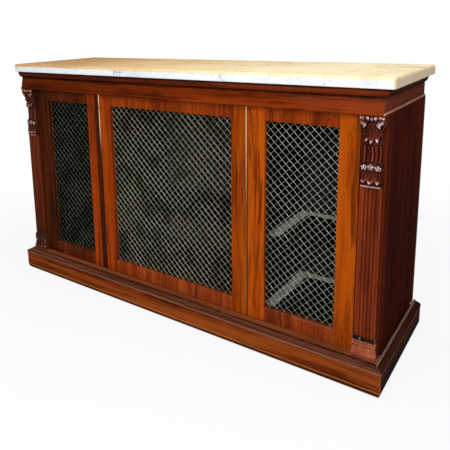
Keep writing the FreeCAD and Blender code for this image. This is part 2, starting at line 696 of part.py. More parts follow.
def hinge_stile(door):
    """The pivot stile: its back arris is rounded about the pivot so that it clears the partition."""
    name, left, right, hinge = door
    axis, way = pivot_place(door)
    edge = left if hinge < 0 else right
    inner = "%s + %d * stile_width" % (edge, way)
    swing = "(door_thickness - pivot_setback)"
    rise = "sqrt(%s * %s - pivot_inset * pivot_inset)" % (swing, swing)
    corners = [(edge, "face"), (inner, "face"), (inner, "door_back"), (axis, "door_back"),
               (edge, "pivot_line + " + rise)]
    if way < 0:
        corners = [corners[0]] + corners[:0:-1]
        blank = prism(name + "_hinge_blank", "XY_Plane", corners, "door_low", "door_high", {1: swing})
    else:
        blank = prism(name + "_hinge_blank", "XY_Plane", corners, "door_low", "door_high", {3: swing})
    plate = "pivot_plate_thickness"
    tools = rebate_and_mortises(door, "hinge")
    tools.append(pivot_seat(door, "low", "door_low", "door_low + " + plate))
    tools.append(pivot_seat(door, "high", "door_high - " + plate, "door_high"))
    relief = "pivot_radius + pivot_relief"
    tools.append(pivot_rod(door, "low_relief", relief, "door_low + " + plate,
                           "door_low + pivot_reach + 1"))
    tools.append(pivot_rod(door, "high_relief", relief, "door_high - pivot_reach - 1",
                           "door_high - " + plate))
    return cut(name + "_door_hinge_stile", blank, tools)


def lock_stile(door):
    """The closing stile, bored for the flush bolt, or for the key in the centre door."""
    name, left, right, hinge = door
    edges = ("%s - stile_width" % right, right) if hinge < 0 else (left, "%s + stile_width" % left)
    blank = box(name + "_lock_blank", edges, ("face", "door_back"), ("door_low", "door_high"))
    tools = rebate_and_mortises(door, "lock")
    if name == "centre":
        tools += keyhole("stile", "keyhole_radius + escutcheon_wall", "keyhole_slot / 2 + escutcheon_wall",
                         "keyhole_drop + escutcheon_wall", "face", "face + escutcheon_depth")
        tools += keyhole("stile_back", "keyhole_radius", "keyhole_slot / 2", "keyhole_drop",
                         "face + escutcheon_depth", "door_back")
    else:
        axis, stud_reach = flush_bolt_place(door)
        bore = "flush_bolt_radius + bolt_play"
        low = "door_high - flush_bolt_sunk - flush_bolt_length"
        tools.append(rod(name + "_bolt_bore", "z", (axis, "face + door_thickness / 2"), bore,
                         low + " - 1", "door_high"))
        stud = "door_high - flush_bolt_length / 2"
        reach = (axis, stud_reach) if hinge < 0 else (stud_reach, axis)
        tools.append(box(name + "_stud_slot", reach,
                         ("face + door_thickness / 2 - flush_stud_radius - bolt_play",
                          "face + door_thickness / 2 + flush_stud_radius + bolt_play"),
                         (stud + " - flush_stud_radius - 2", stud + " + flush_stud_radius + flush_bolt_throw + 2")))
    return cut(name + "_door_lock_stile", blank, tools)


def rebate_and_mortises(door, tag):
    """The grille rebate round the opening, and the mortises for the rail tenons."""
    name, left, right, hinge = door
    tools = [box("%s_%s_rebate" % (name, tag),
                 ("%s + stile_width - rebate_width" % left, "%s - stile_width + rebate_width" % right),
                 ("rebate_front", "door_back"),
                 ("opening_low - rebate_width", "opening_high + rebate_width"))]
    for place in ("top", "bottom"):
        tools.append(tenon(door, place, tag))
    return tools


def tenon(door, place, tag):
    """A through strip that is both tenons of a rail, or the tool that cuts their mortises."""
    name, left, right, hinge = door
    if place == "top":
        level = ("opening_high + rebate_width + tenon_shoulder", "door_high - tenon_shoulder")
    else:
        level = ("door_low + tenon_shoulder", "opening_low - rebate_width - tenon_shoulder")
    middle = "face + (door_thickness - rebate_depth) / 2"
    return box("%s_%s_%s_tenon" % (name, place, tag),
               ("%s + stile_width - tenon_length" % left, "%s - stile_width + tenon_length" % right),
               ("%s - tenon_thickness / 2 + 1" % middle, "%s + tenon_thickness / 2 + 1" % middle), level)


def rail(door, place):
    """A top or bottom rail between the stiles, with its tenons."""
    name, left, right, hinge = door
    level = ("opening_high", "door_high") if place == "top" else ("door_low", "opening_low")
    blank = box("%s_%s_blank" % (name, place), ("%s + stile_width" % left, "%s - stile_width" % right),
                ("face", "door_back"), level)
    lip = box("%s_%s_lip" % (name, place), ("%s + stile_width" % left, "%s - stile_width" % right),
              ("rebate_front", "door_back"),
              ("opening_low - rebate_width", "opening_high + rebate_width"))
    shaped = cut("%s_%s_shaped" % (name, place), blank, [lip])
    return fuse("%s_door_%s_rail" % (name, place), [shaped, tenon(door, place, "rail")])


def clipped(offset, slope, half_width, half_height):
    """Where the 45 degree line z = slope * x + offset enters and leaves a centred rectangle."""
    ends = sorted(((-half_height - offset) / slope, (half_height - offset) / slope))
    return max(ends[0], -half_width), min(ends[1], half_width)


def grille(door):
    """Two layers of straight wires, crossing at right angles, in the door's rebate."""
    name, left, right, hinge = door
    low_x, high_x = value(left) + value("stile_width"), value(right) - value("stile_width")
    low_z, high_z = value("opening_low"), value("opening_high")
    half_width, half_height = (high_x - low_x) / 2, (high_z - low_z) / 2
    middle = Vector((low_x + high_x) / 2, value("rebate_front"), (low_z + high_z) / 2)
    wide, thick = value("wire_width"), value("wire_thickness")
    margin = value("rebate_width") - wide
    diagonal = value("wire_pitch") * math.sqrt(2)
    wires = []
    for layer, slope in enumerate((1, -1)):
        count = int((half_width + half_height - wide) / diagonal)
        for number in range(-count, count + 1):
            offset = number * diagonal
            start, end = clipped(offset, slope, half_width + margin, half_height + margin)
            length = (end - start) * math.sqrt(2)
            wire = Part.makeBox(length, thick, wide, Vector(0, 0, -wide / 2))
            wire.rotate(Vector(0, 0, 0), Vector(0, 1, 0), -45 * slope)
            wire.translate(middle + Vector(start, layer * thick, slope * start + offset))
            wires.append(wire)
    feature = doc.addObject("Part::Feature", name + "_door_grille")
    feature.Shape = Part.makeCompound(wires)
    return feature


def grille_beads(door):
    """Four mitred strips that hold the grille in its rebate."""
    name, left, right, hinge = door
    outer = ("%s + stile_width - rebate_width" % left, "%s - stile_width + rebate_width" % right,
             "opening_low - rebate_width", "opening_high + rebate_width")
    inner = ("%s + stile_width" % left, "%s - stile_width" % right, "opening_low", "opening_high")
    outer_ring = [(outer[0], outer[2]), (outer[1], outer[2]), (outer[1], outer[3]), (outer[0], outer[3])]
    inner_ring = [(inner[0], inner[2]), (inner[1], inner[2]), (inner[1], inner[3]), (inner[0], inner[3])]
    strips = []
    for number in range(4):
        following = (number + 1) % 4
        strips.append(prism("%s_bead_%d" % (name, number), "XZ_Plane",
                            [outer_ring[number], outer_ring[following], inner_ring[following],
                             inner_ring[number]],
                            "rebate_front + 2 * wire_thickness", "door_back"))
    return group(name + "_door_grille_beads", strips)


def door_pivots(door):
    """The two brass plates let into the door's ends, each with an eye for a pin."""
    name = door[0]
    plate = "pivot_plate_thickness"
    plates = []
    for tag, low, high in (("low", "door_low", "door_low + " + plate),
                           ("high", "door_high - " + plate, "door_high")):
        eye = pivot_rod(door, tag + "_eye", "pivot_radius + pivot_clearance", low + " - 1", high + " + 1")
        plates.append(cut("%s_%s_pivot" % (name, tag), pivot_strip(door, tag + "_plate", low, high), [eye]))
    return group(name + "_door_pivot_plates", plates)


def carcass_pivots():
    """Brass plates in the floor and the front rail with riveted pins; the floor's have raised collars."""
    plate = "pivot_plate_thickness"
    fittings = []
    for door in DOORS:
        name = door[0]
        low = [pivot_strip(door, "floor_plate", "floor - " + plate, "floor"),
               pivot_rod(door, "floor_pin", "pivot_radius", "floor - 1", "door_low + pivot_reach"),
               pivot_rod(door, "floor_collar", "pivot_collar_radius", "floor - 1",
                         "door_low - pivot_collar_play")]
        high = [pivot_strip(door, "rail_plate", "head", "head + " + plate),
                pivot_rod(door, "rail_pin", "pivot_radius", "door_high - pivot_reach", "head + 1")]
        fittings.append(fuse(name + "_floor_pivot", low))
        fittings.append(fuse(name + "_rail_pivot", high))
    node("pivot_pins", group("pivot_pins", fittings))


# ---- locks and bolts -----------------------------------------------------------------------------

def keyhole(tag, radius, half_slot, drop, front, rear):
    """The round and the slot of a keyhole."""
    return [rod("keyhole_round_" + tag, "y", ("lock_axis", "lock_middle"), radius, front, rear),
            box("keyhole_slot_" + tag, ("lock_axis - (%s)" % half_slot, "lock_axis + (%s)" % half_slot),
                (front, rear), ("lock_middle - (%s)" % drop, "lock_middle"))]


def centre_lock():
    """A cupboard lock on the closing stile, its bolt, and the thread escutcheon round the keyhole."""
    rear = "door_back + lock_depth"
    case = box("lock_blank", ("lock_right - lock_width", "lock_right"), ("door_back", rear),
               ("lock_middle - lock_height / 2", "lock_middle + lock_height / 2"))
    middle = "door_back + lock_depth / 2"
    bolt_y = ("%s - lock_bolt_depth / 2" % middle, "%s + lock_bolt_depth / 2" % middle)
    bolt_z = ("lock_middle - lock_bolt_height / 2", "lock_middle + lock_bolt_height / 2")
    way = box("bolt_way", ("lock_right - lock_bolt_length - bolt_play", "lock_right"),
              (bolt_y[0] + " - bolt_play", bolt_y[1] + " + bolt_play"),
              (bolt_z[0] + " - bolt_play", bolt_z[1] + " + bolt_play"))
    holes = keyhole("case", "keyhole_radius", "keyhole_slot / 2", "keyhole_drop", "door_back", bolt_y[0])
    node("lock_case", cut("lock_case", case, [way] + holes))
    node("lock_bolt", box("lock_bolt", ("lock_right - lock_bolt_length", "lock_right"), bolt_y, bolt_z))
    outer = fuse("escutcheon_blank", keyhole("outer", "keyhole_radius + escutcheon_wall",
                                             "keyhole_slot / 2 + escutcheon_wall",
                                             "keyhole_drop + escutcheon_wall",
                                             "face", "face + escutcheon_depth"))
    inner = keyhole("inner", "keyhole_radius", "keyhole_slot / 2", "keyhole_drop",
                    "face - 1", "face + escutcheon_depth + 1")
    node("keyhole_escutcheon", cut("keyhole_escutcheon", outer, inner))


def flush_bolt_place(door):
    """The bolt's axis in X, and the X of the door's closing edge."""
    name, left, right, hinge = door
    if hinge < 0:
        return "%s - flush_bolt_inset" % right, right
    return "%s + flush_bolt_inset" % left, left


def flush_bolt(door):
    """A brass rod in the closing edge, with a stud that is reached when the centre door is open."""
    name, left, right, hinge = door
    axis, edge = flush_bolt_place(door)
    top = "door_high - flush_bolt_sunk"
    line = "face + door_thickness / 2"
    bar = rod(name + "_bolt_bar", "z", (axis, line), "flush_bolt_radius", top + " - flush_bolt_length", top)
    ends = (axis, edge) if hinge < 0 else (edge, axis)
    stud = rod(name + "_bolt_stud", "x", (line, "door_high - flush_bolt_length / 2"), "flush_stud_radius",
               *ends)
    node("flush_bolt_" + name, fuse("flush_bolt_" + name, [bar, stud]))


def astragals():
    """Half-round brass strips planted on both edges of the centre door."""
    name, left, right, hinge = DOORS[1]
    wide = "astragal_width"
    radius = "(%s * %s / 4 + astragal_projection * astragal_projection) / (2 * astragal_projection)" % (wide, wide)
    strips = []
    for tag, low in (("left", left), ("right", "%s - %s" % (right, wide))):
        corners = [(low, "face"), ("%s + %s" % (low, wide), "face"), ("%s + %s" % (low, wide), "face - 0.2"),
                   (low, "face - 0.2")]
        arc = "((%s) * (%s) / 4 + (astragal_projection - 0.2) * (astragal_projection - 0.2))" % (wide, wide)
        arc += " / (2 * (astragal_projection - 0.2))"
        strips.append(prism("astragal_" + tag, "XY_Plane", corners, "door_low", "door_high",
                            {2: "-(%s)" % arc}))
    node("brass_astragals", group("brass_astragals", strips))


# ---- assembly ------------------------------------------------------------------------------------

marble_top()
cornice()
front, left_return, right_return = frieze()
node("frieze_front", front)
node("frieze_returns", group("frieze_returns", [left_return, right_return]))
carcass()
plinth()
for side, sign in SIDES:
    node("pilaster_base_" + side, pilaster_base(side, sign))
    node("pilaster_shaft_" + side, pilaster_shaft(side, sign))
    node("console_" + side, console(side, sign))
carcass_pivots()
for door in DOORS:
    node(door[0] + "_door_hinge_stile", hinge_stile(door))
    node(door[0] + "_door_lock_stile", lock_stile(door))
    node(door[0] + "_door_top_rail", rail(door, "top"))
    node(door[0] + "_door_bottom_rail", rail(door, "bottom"))
    node(door[0] + "_door_grille", grille(door))
    node(door[0] + "_door_grille_beads", grille_beads(door))
    node(door[0] + "_door_pivot_plates", door_pivots(door))
astragals()
centre_lock()
for door in (DOORS[0], DOORS[2]):
    flush_bolt(door)
doc.recompute()

for thing in doc.Objects:
    if "Invalid" in thing.State or "Error" in thing.State:
        raise RuntimeError("%s did not build: %s" % (thing.Name, thing.State))
for name, solid in nodes.items():
    if solid.Shape.isNull() or not solid.Shape.isValid() or not solid.Shape.Solids:
        raise RuntimeError("%s has no sound solid" % name)
os.makedirs("parts", exist_ok=True)
for name, solid in nodes.items():
    solid.Shape.exportStep("parts/%s.step" % name)
print(len(nodes), "sub-parts,", sum(len(solid.Shape.Solids) for solid in nodes.values()), "solids")
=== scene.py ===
import math
import bpy
import numpy as np
from mathutils import Matrix, Vector


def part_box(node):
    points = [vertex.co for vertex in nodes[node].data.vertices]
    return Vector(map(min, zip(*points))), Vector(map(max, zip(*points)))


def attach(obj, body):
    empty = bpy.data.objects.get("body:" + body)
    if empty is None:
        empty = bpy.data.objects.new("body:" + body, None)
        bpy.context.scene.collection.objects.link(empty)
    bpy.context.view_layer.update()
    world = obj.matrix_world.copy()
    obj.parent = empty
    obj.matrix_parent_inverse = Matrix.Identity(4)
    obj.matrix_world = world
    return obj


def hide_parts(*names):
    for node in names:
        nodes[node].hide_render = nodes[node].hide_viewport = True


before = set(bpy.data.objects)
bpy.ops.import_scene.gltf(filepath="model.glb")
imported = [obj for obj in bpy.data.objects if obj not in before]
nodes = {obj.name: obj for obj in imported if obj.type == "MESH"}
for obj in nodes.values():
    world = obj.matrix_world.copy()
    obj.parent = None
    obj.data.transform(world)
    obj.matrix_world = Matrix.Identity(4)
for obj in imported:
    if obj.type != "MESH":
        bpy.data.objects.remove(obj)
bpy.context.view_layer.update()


# ---- plinth ---------------------------------------------------------------------------------------
# A box of mitred rosewood boards, glued and blocked at the corners with pine. A shallow moulding in
# three mitred lengths frames the carcass floor on top of it. The wax has worn off the edges.

def tone(red, green, blue):
    """A stain, polish or metal colour, given in the 0 to 255 steps of a colour card."""
    steps = [v / 255 for v in (red, green, blue)]
    return tuple(v / 12.92 if v <= 0.04045 else ((v + 0.055) / 1.055) ** 2.4 for v in steps) + (1,)


def put(tree, kind, settings=None, **inputs):
    """One shader node: its own settings, and its inputs by name or number, as values or other outputs."""
    made = tree.nodes.new("ShaderNode" + kind)
    for key, setting in (settings or {}).items():
        setattr(made, key, setting)
    for key, given in inputs.items():
        socket = made.inputs[int(key[1:])] if key[0] == "_" else made.inputs[key.replace("_", " ")]
        if isinstance(given, bpy.types.NodeSocket):
            tree.links.new(given, socket)
        else:
            socket.default_value = given
    return made


def sums(tree, operation, first, second=0, third=0, clamp=False):
    """A sum, power or other piece of arithmetic on masks."""
    made = put(tree, "Math", {"operation": operation, "use_clamp": clamp}, _0=first, _1=second, _2=third)
    return made.outputs[0]


def times(tree, first, second):
    """One mask weakened or strengthened by another."""
    return sums(tree, "MULTIPLY", first, second)


def minus(tree, first, second, clamp=False):
    """What is left of one mask after another is taken away."""
    return sums(tree, "SUBTRACT", first, second, clamp=clamp)


def most(tree, first, second):
    """The stronger of two masks."""
    return sums(tree, "MAXIMUM", first, second)


def distance(tree, first, second):
    """How far one value lies from another."""
    return sums(tree, "ABSOLUTE", minus(tree, first, second))


def level(tree, mask, low, high, start=0, end=1):
    """A mask stretched so that low becomes start and high becomes end, with soft ends."""
    return put(tree, "MapRange", {"interpolation_type": "SMOOTHSTEP"}, Value=mask, From_Min=low,
               From_Max=high, To_Min=start, To_Max=end).outputs[0]


def stain(tree, amount, under, over):
    """One colour laid over another by a mask."""
    return put(tree, "Mix", {"data_type": "RGBA", "clamp_factor": True}, _0=amount, _6=under,
               _7=over).outputs[2]


def cloudy(tree, place, scale, detail=3, rough=0.55, warp=0):
    """Soft irregular patches."""
    return put(tree, "TexNoise", Vector=place, Scale=scale, Detail=detail, Roughness=rough,
               Distortion=warp).outputs["Fac"]


def stretched(tree, place, x, y, z):
    """Coordinates multiplied axis by axis."""
    return put(tree, "VectorMath", {"operation": "MULTIPLY"}, _0=place, _1=(x, y, z)).outputs[0]


def split(tree, place):
    """The three parts of a place or a direction."""
    return put(tree, "SeparateXYZ", _0=place).outputs


def effect(name, inputs, outputs):
    """An empty node group and its two ends. Each socket has its kind, or a number as its usual value."""
    tree = bpy.data.node_groups.new(name, "ShaderNodeTree")
    for way, sockets in (("INPUT", inputs), ("OUTPUT", outputs)):
        for label, kind in sockets.items():
            number = not isinstance(kind, str)
            socket = tree.interface.new_socket(label, in_out=way,
                                               socket_type="NodeSocket" + ("Float" if number else kind))
            if number:
                socket.default_value = kind
    return tree, tree.nodes.new("NodeGroupInput").outputs, tree.nodes.new("NodeGroupOutput").inputs


# Rosewood grain: fibres run along Z of the place that it is given, in metres.
grain, given, out = effect(
    "rosewood_grain", {"Place": "Vector", "Dark": "Color", "Middle": "Color", "Light": "Color",
                       "Stripe": "Float", "Figure": "Float", "Lines": "Float"},
    {"Color": "Color", "Height": "Float", "Gloss": "Float"})
drift = put(grain, "TexNoise", Vector=stretched(grain, given["Place"], 1, 1, 0.55), Scale=7, Detail=2)
bent = put(grain, "VectorMath", {"operation": "MULTIPLY_ADD"}, _0=drift.outputs["Color"],
           _1=(0.03, 0.03, 0.02), _2=given["Place"]).outputs[0]
stripe = cloudy(grain, stretched(grain, bent, 1, 1, 0.05), given["Stripe"], 4, 0.62)
broad = cloudy(grain, stretched(grain, bent, 1, 1, 0.32), 8.5, 3, 0.6, 0.8)
ink = cloudy(grain, stretched(grain, bent, 1, 1, 0.035), 60, 4, 0.6)
fibre = cloudy(grain, stretched(grain, given["Place"], 1, 1, 0.035), 620, 2, 0.5)
pores = cloudy(grain, stretched(grain, given["Place"], 1, 1, 0.045), 1500, 1, 0.5)
pores = level(grain, pores, 0.60, 0.70)
shade = sums(grain, "MULTIPLY_ADD", minus(grain, broad, 0.5), 0.9, stripe)
colour = stain(grain, level(grain, stripe, 0.42, 0.66), given["Middle"], given["Light"])
figure = times(grain, level(grain, shade, 0.48, 0.28), given["Figure"])
colour = stain(grain, figure, colour, given["Dark"])
lines = times(grain, level(grain, ink, 0.55, 0.67), given["Lines"])
colour = stain(grain, lines, colour, given["Dark"])
colour = stain(grain, level(grain, fibre, 0.35, 0.75, 0, 0.22), colour, given["Light"])
colour = stain(grain, times(grain, pores, 0.35), colour, given["Dark"])
grain.links.new(colour, out["Color"])
grain.links.new(minus(grain, times(grain, fibre, 0.35), pores), out["Height"])
grain.links.new(level(grain, stripe, 0.3, 0.7, -0.04, 0.05), out["Gloss"])

# Rubbed arrises: where the surface turns within a few millimetres, broken up by patches.
rubbed, given, out = effect("rubbed_arrises", {"Width": 0.003, "Place": "Vector"}, {"Mask": "Float"})
rounded = put(rubbed, "Bevel", {"samples": 6}, Radius=given["Width"]).outputs[0]
flat = put(rubbed, "NewGeometry").outputs["Normal"]
turn = put(rubbed, "VectorMath", {"operation": "DOT_PRODUCT"}, _0=rounded, _1=flat).outputs["Value"]
patches = level(rubbed, cloudy(rubbed, given["Place"], 34, 4, 0.7), 0.36, 0.62)
rubbed.links.new(times(rubbed, level(rubbed, turn, 0.995, 0.80), patches), out["Mask"])

# Old wax and dust, with painted shade: the colour darkens where the surface closes in on itself.
settled_wax_and_shade, given, out = effect("settled_wax_and_painted_shade", {"Reach": 0.012, "Place": "Vector"}, {"Mask": "Float"})
open_sky = put(settled_wax_and_shade, "AmbientOcclusion", {"samples": 6}, Distance=given["Reach"]).outputs["AO"]
specks = level(settled_wax_and_shade, cloudy(settled_wax_and_shade, given["Place"], 180, 3, 0.6), 0.2, 0.7, 0.5, 1)
settled_wax_and_shade.links.new(times(settled_wax_and_shade, level(settled_wax_and_shade, open_sky, 0.85, 0.25), specks), out["Mask"])

# Hand polish: smears, fine scratches and bruises in the shine.
polish, given, out = effect("hand_polish", {"Place": "Vector", "Roughness": "Float"},
                            {"Roughness": "Float", "Shine": "Float", "Height": "Float"})
smears = cloudy(polish, given["Place"], 11, 4, 0.65, 0.4)
scratch = cloudy(polish, stretched(polish, given["Place"], 1, 1, 0.08), 420, 2, 0.6)
scratch = level(polish, scratch, 0.66, 0.74)
bruise = cloudy(polish, given["Place"], 27, 2, 0.4)
wear_and_highlight = sums(polish, "ADD", given["Roughness"], level(polish, smears, 0.3, 0.75, -0.07, 0.12))
wear_and_highlight = sums(polish, "ADD", wear_and_highlight, times(polish, scratch, 0.14), clamp=True)
polish.links.new(wear_and_highlight, out["Roughness"])
shine = minus(polish, level(polish, smears, 0.70, 0.30, 0.55, 1.25), times(polish, scratch, 0.4), clamp=True)
polish.links.new(shine, out["Shine"])
polish.links.new(times(polish, bruise, 0.6), out["Height"])

QUARTER_TURN = math.radians(90)
GRAIN_ALONG = {"up": (0, 0, 0), "across": (0, QUARTER_TURN, 0), "deep": (QUARTER_TURN, 0, 0)}


def use(tree, group, **inputs):
    """A shared effect, placed with its own values."""
    return put(tree, "Group", {"node_tree": group}, **inputs).outputs


def laid(tree, place, along, seed, step):
    """The place turned along the grain, and moved by the seed so that no two pieces match."""
    return put(tree, "Mapping", Vector=place, Rotation=GRAIN_ALONG[along],
               Location=tuple(seed * part for part in step)).outputs[0]


def start_material(name):
    """An empty material, its nodes, and the place of each point of the piece, in metres."""
    made = bpy.data.materials.new(name)
    made.use_nodes = True
    made.node_tree.nodes.clear()
    return made, made.node_tree, put(made.node_tree, "TexCoord").outputs["Object"]


def show(tree, shader):
    """Lay the finished shader on the surface."""
    tree.links.new(shader.outputs[0], put(tree, "OutputMaterial").inputs["Surface"])


def banded(tree, place, colour, bands):
    """Bands painted along a piece between two heights, mostly shade and highlight: from and to above the
    floor in metres, tone, strength.
    """
    wander = minus(tree, cloudy(tree, place, 40, 3), 0.5)
    height = sums(tree, "MULTIPLY_ADD", wander, 0.0016, split(tree, place)[2])
    broken = level(tree, cloudy(tree, place, 24, 4, 0.65), 0.25, 0.55, 0.5, 1)
    for start, end, shade, strength in bands:
        soft = (end - start) * 0.3
        within = sums(tree, "MINIMUM", level(tree, height, start - soft, start + soft),
                      level(tree, height, end + soft, end - soft))
        colour = stain(tree, times(tree, times(tree, within, broken), strength), colour, tone(*shade))
    return colour


def rosewood(name, along, seed, dark, middle, light, stripe=26, figure=0.5, lines=0.5, roughness=0.42,
             rub=0.5, rub_tone=(150, 92, 52), wax_and_shade=0.5, wax_and_shade_tone=(40, 24, 14), gloss=0.10, crossband=None,
             bands=()):
    """Polished veneer or solid wood with its grain up, across or deep into the piece."""
    made, tree, place = start_material(name)
    turned = laid(tree, place, along, seed, (0.37, 0.53, 0.71))
    wood = use(tree, grain, Place=turned, Dark=tone(*dark), Middle=tone(*middle), Light=tone(*light),
               Stripe=stripe, Figure=figure, Lines=lines)
    shone = use(tree, polish, Place=turned, Roughness=roughness)
    colour = wood["Color"]
    rough = minus(tree, shone["Roughness"], wood["Gloss"], clamp=True)
    if crossband:
        colour = stain(tree, use(tree, leaves, Place=place, **crossband)[0], colour, tone(*dark))
    if rub:
        edge = times(tree, use(tree, rubbed, Place=place)[0], rub)
        colour = stain(tree, edge, colour, tone(*rub_tone))
        rough = sums(tree, "ADD", rough, times(tree, edge, 0.15), clamp=True)
    if wax_and_shade:
        # The occlusion mask lays old wax and painted shade in the hollows, and dulls the polish there.
        dull = times(tree, use(tree, settled_wax_and_shade, Place=place)[0], wax_and_shade)
        colour = stain(tree, dull, colour, tone(*wax_and_shade_tone))
        rough = sums(tree, "ADD", rough, times(tree, dull, 0.3), clamp=True)
    if bands:
        colour = banded(tree, place, colour, bands)
    height = sums(tree, "ADD", wood["Height"], shone["Height"])
    bump = put(tree, "Bump", Strength=0.3, Distance=0.0006, Height=height).outputs[0]
    show(tree, put(tree, "BsdfPrincipled", Base_Color=colour, Roughness=rough, Normal=bump,
                   Specular_IOR_Level=0, Coat_Weight=times(tree, shone["Shine"], gloss), Coat_Roughness=0.18))
    return made


def finish_node(name, material, ease=0):
    """Give a CAD piece its material, and ease its arrises by a fraction of a millimetre."""
    piece = nodes[name]
    for holder in piece.material_slots:
        holder.material = material
    if ease:
        weld = piece.modifiers.new("joined_corners", "WELD")
        weld.merge_threshold = 0.00001
        bevel = piece.modifiers.new("eased_arrises", "BEVEL")
        bevel.width = ease
        bevel.segments = 2
        bevel.limit_method = "ANGLE"
        bevel.angle_limit = math.radians(35)
        bevel.harden_normals = True


# How far arrises are eased, in metres: most where the plinth is kicked, least on small mouldings.
WORN, EASED, NEAT, CRISP = 0.0012, 0.001, 0.0008, 0.0006

# Painted bands: the foot is darker, with a painted highlight line above it; the moulding carries painted
# shade under its lips and painted highlights on its rounds.
FOOT_BANDS = ((-0.004, 0.017, (50, 24, 9), 0.75), (0.0185, 0.0215, (186, 122, 58), 0.7))
MOULDING_SHADE_AND_HIGHLIGHT_BANDS = ((0.0925, 0.099, (20, 8, 5), 0.85), (0.0850, 0.0875, (40, 20, 15), 0.6),
                (0.0800, 0.0818, (150, 114, 92), 0.8), (0.0770, 0.0795, (30, 14, 8), 0.6))
END_MOULDING_HIGHLIGHT_BANDS = ((0.0925, 0.0960, (170, 134, 114), 0.5), (0.0800, 0.0818, (130, 86, 64), 0.6))

front_wood = rosewood("plinth_veneer", "across", 1, (50, 15, 6), (108, 42, 13), (142, 68, 21), stripe=22,
                      figure=0.7, lines=0.8, roughness=0.46, rub=0.7, gloss=0.035, rub_tone=(196, 128, 62),
                      wax_and_shade=0.6, bands=FOOT_BANDS)
# The plinth's end boards are painted near black, a shaded copy of the front veneer.
end_wood = rosewood("plinth_end_veneer_shaded", "deep", 2, (7, 3, 2), (20, 8, 5), (72, 28, 16), stripe=12,
                    figure=0.9, roughness=0.46, rub=0.4, gloss=0.025)
finish_node("plinth_front", front_wood, WORN)
finish_node("plinth_returns", end_wood, WORN)
front_wood = rosewood("plinth_moulding_wood", "across", 3, (40, 19, 13), (80, 40, 27), (110, 62, 42),
                      figure=0.8, roughness=0.44, rub=0.6, gloss=0.05, rub_tone=(150, 108, 86), wax_and_shade=0.9,
                      wax_and_shade_tone=(20, 9, 6), bands=MOULDING_SHADE_AND_HIGHLIGHT_BANDS)
# The end moulding is painted darker than the front moulding, as shade.
end_wood = rosewood("plinth_end_moulding_shaded", "deep", 4, (24, 10, 7), (54, 24, 16), (80, 42, 29),
                    roughness=0.44, rub=0.9, gloss=0.02, rub_tone=(160, 124, 104), wax_and_shade=0.9,
                    wax_and_shade_tone=(10, 5, 4), bands=END_MOULDING_HIGHLIGHT_BANDS)
finish_node("plinth_moulding_front", front_wood)
finish_node("plinth_moulding_returns", end_wood)

# Unpolished pine: pale and dusty, browned by age, with dark knots and saw marks.
pine, given, out = effect("aged_pine", {"Place": "Vector"}, {"Color": "Color", "Height": "Float"})
rings = cloudy(pine, stretched(pine, given["Place"], 1, 1, 0.05), 34, 5, 0.65, 0.6)
grime = cloudy(pine, given["Place"], 5, 4, 0.6)
knots = put(pine, "TexVoronoi", Vector=stretched(pine, given["Place"], 1, 1, 0.6), Scale=5)
knots = knots.outputs["Distance"]
saw = put(pine, "TexWave", {"wave_type": "BANDS", "bands_direction": "Z"}, Vector=given["Place"], Scale=60,
          Distortion=1.5, Detail=2).outputs["Fac"]
colour = stain(pine, level(pine, rings, 0.38, 0.62), tone(104, 72, 44), tone(62, 40, 24))
colour = stain(pine, level(pine, grime, 0.4, 0.7, 0, 0.6), colour, tone(44, 30, 21))
colour = stain(pine, level(pine, knots, 0.10, 0.05), colour, tone(30, 17, 10))
pine.links.new(colour, out["Color"])
pine.links.new(sums(pine, "ADD", times(pine, saw, 0.3), rings), out["Height"])


def plain_pine(name, along, seed, board_wide=0):
    """Inside and back timber, planed and never polished, in one width or in boards side by side."""
    made, tree, place = start_material(name)
    board = use(tree, pine, Place=laid(tree, place, along, seed, (0.41, 0.29, 0.67)))
    # Dust, with painted shade, darkens the board where it closes in on other parts.
    dust_and_shade = use(tree, settled_wax_and_shade, Place=place, Reach=0.03)[0]
    colour = stain(tree, times(tree, dust_and_shade, 0.5), board["Color"], tone(34, 26, 20))
    if board_wide:
        count = sums(tree, "DIVIDE", split(tree, place)[0], board_wide)
        whole = sums(tree, "ROUND", count)
        shade = put(tree, "TexWhiteNoise", {"noise_dimensions": "1D"}, W=whole).outputs["Value"]
        colour = stain(tree, times(tree, shade, 0.45), colour, tone(40, 26, 17))
        colour = stain(tree, level(tree, distance(tree, count, whole), 0.488, 0.495), colour, tone(14, 9, 6))
    bump = put(tree, "Bump", Strength=0.4, Distance=0.0008, Height=board["Height"]).outputs[0]
    show(tree, put(tree, "BsdfPrincipled", Base_Color=colour, Roughness=0.78, Normal=bump,
                   Specular_IOR_Level=0.25))
    return made


for name, along, seed in (("plinth_back", "across", 5), ("plinth_blocks", "up", 6)):
    finish_node(name, plain_pine("pine_" + name, along, seed), NEAT)


# ---- carcass --------------------------------------------------------------------------------------
# Rosewood end panels and square corner posts stand on a mahogany floor board, with two partitions
# between the doors, a front rail over them and upright pine back boards nailed on.

def outward(tree):
    """The three parts of the way that a surface faces."""
    return split(tree, put(tree, "NewGeometry").outputs["Normal"])


# The inside is painted dark as shade, in the colour of a dark cloth. In the right bay a pale patch of
# painted light lies on the upward faces along the partition and the back.
BAY_CORNER = (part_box("partition_right")[1].x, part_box("back_boards")[0].y)
BEHIND_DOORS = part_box("front_rail")[1].y
BACK_BOARDS = 7

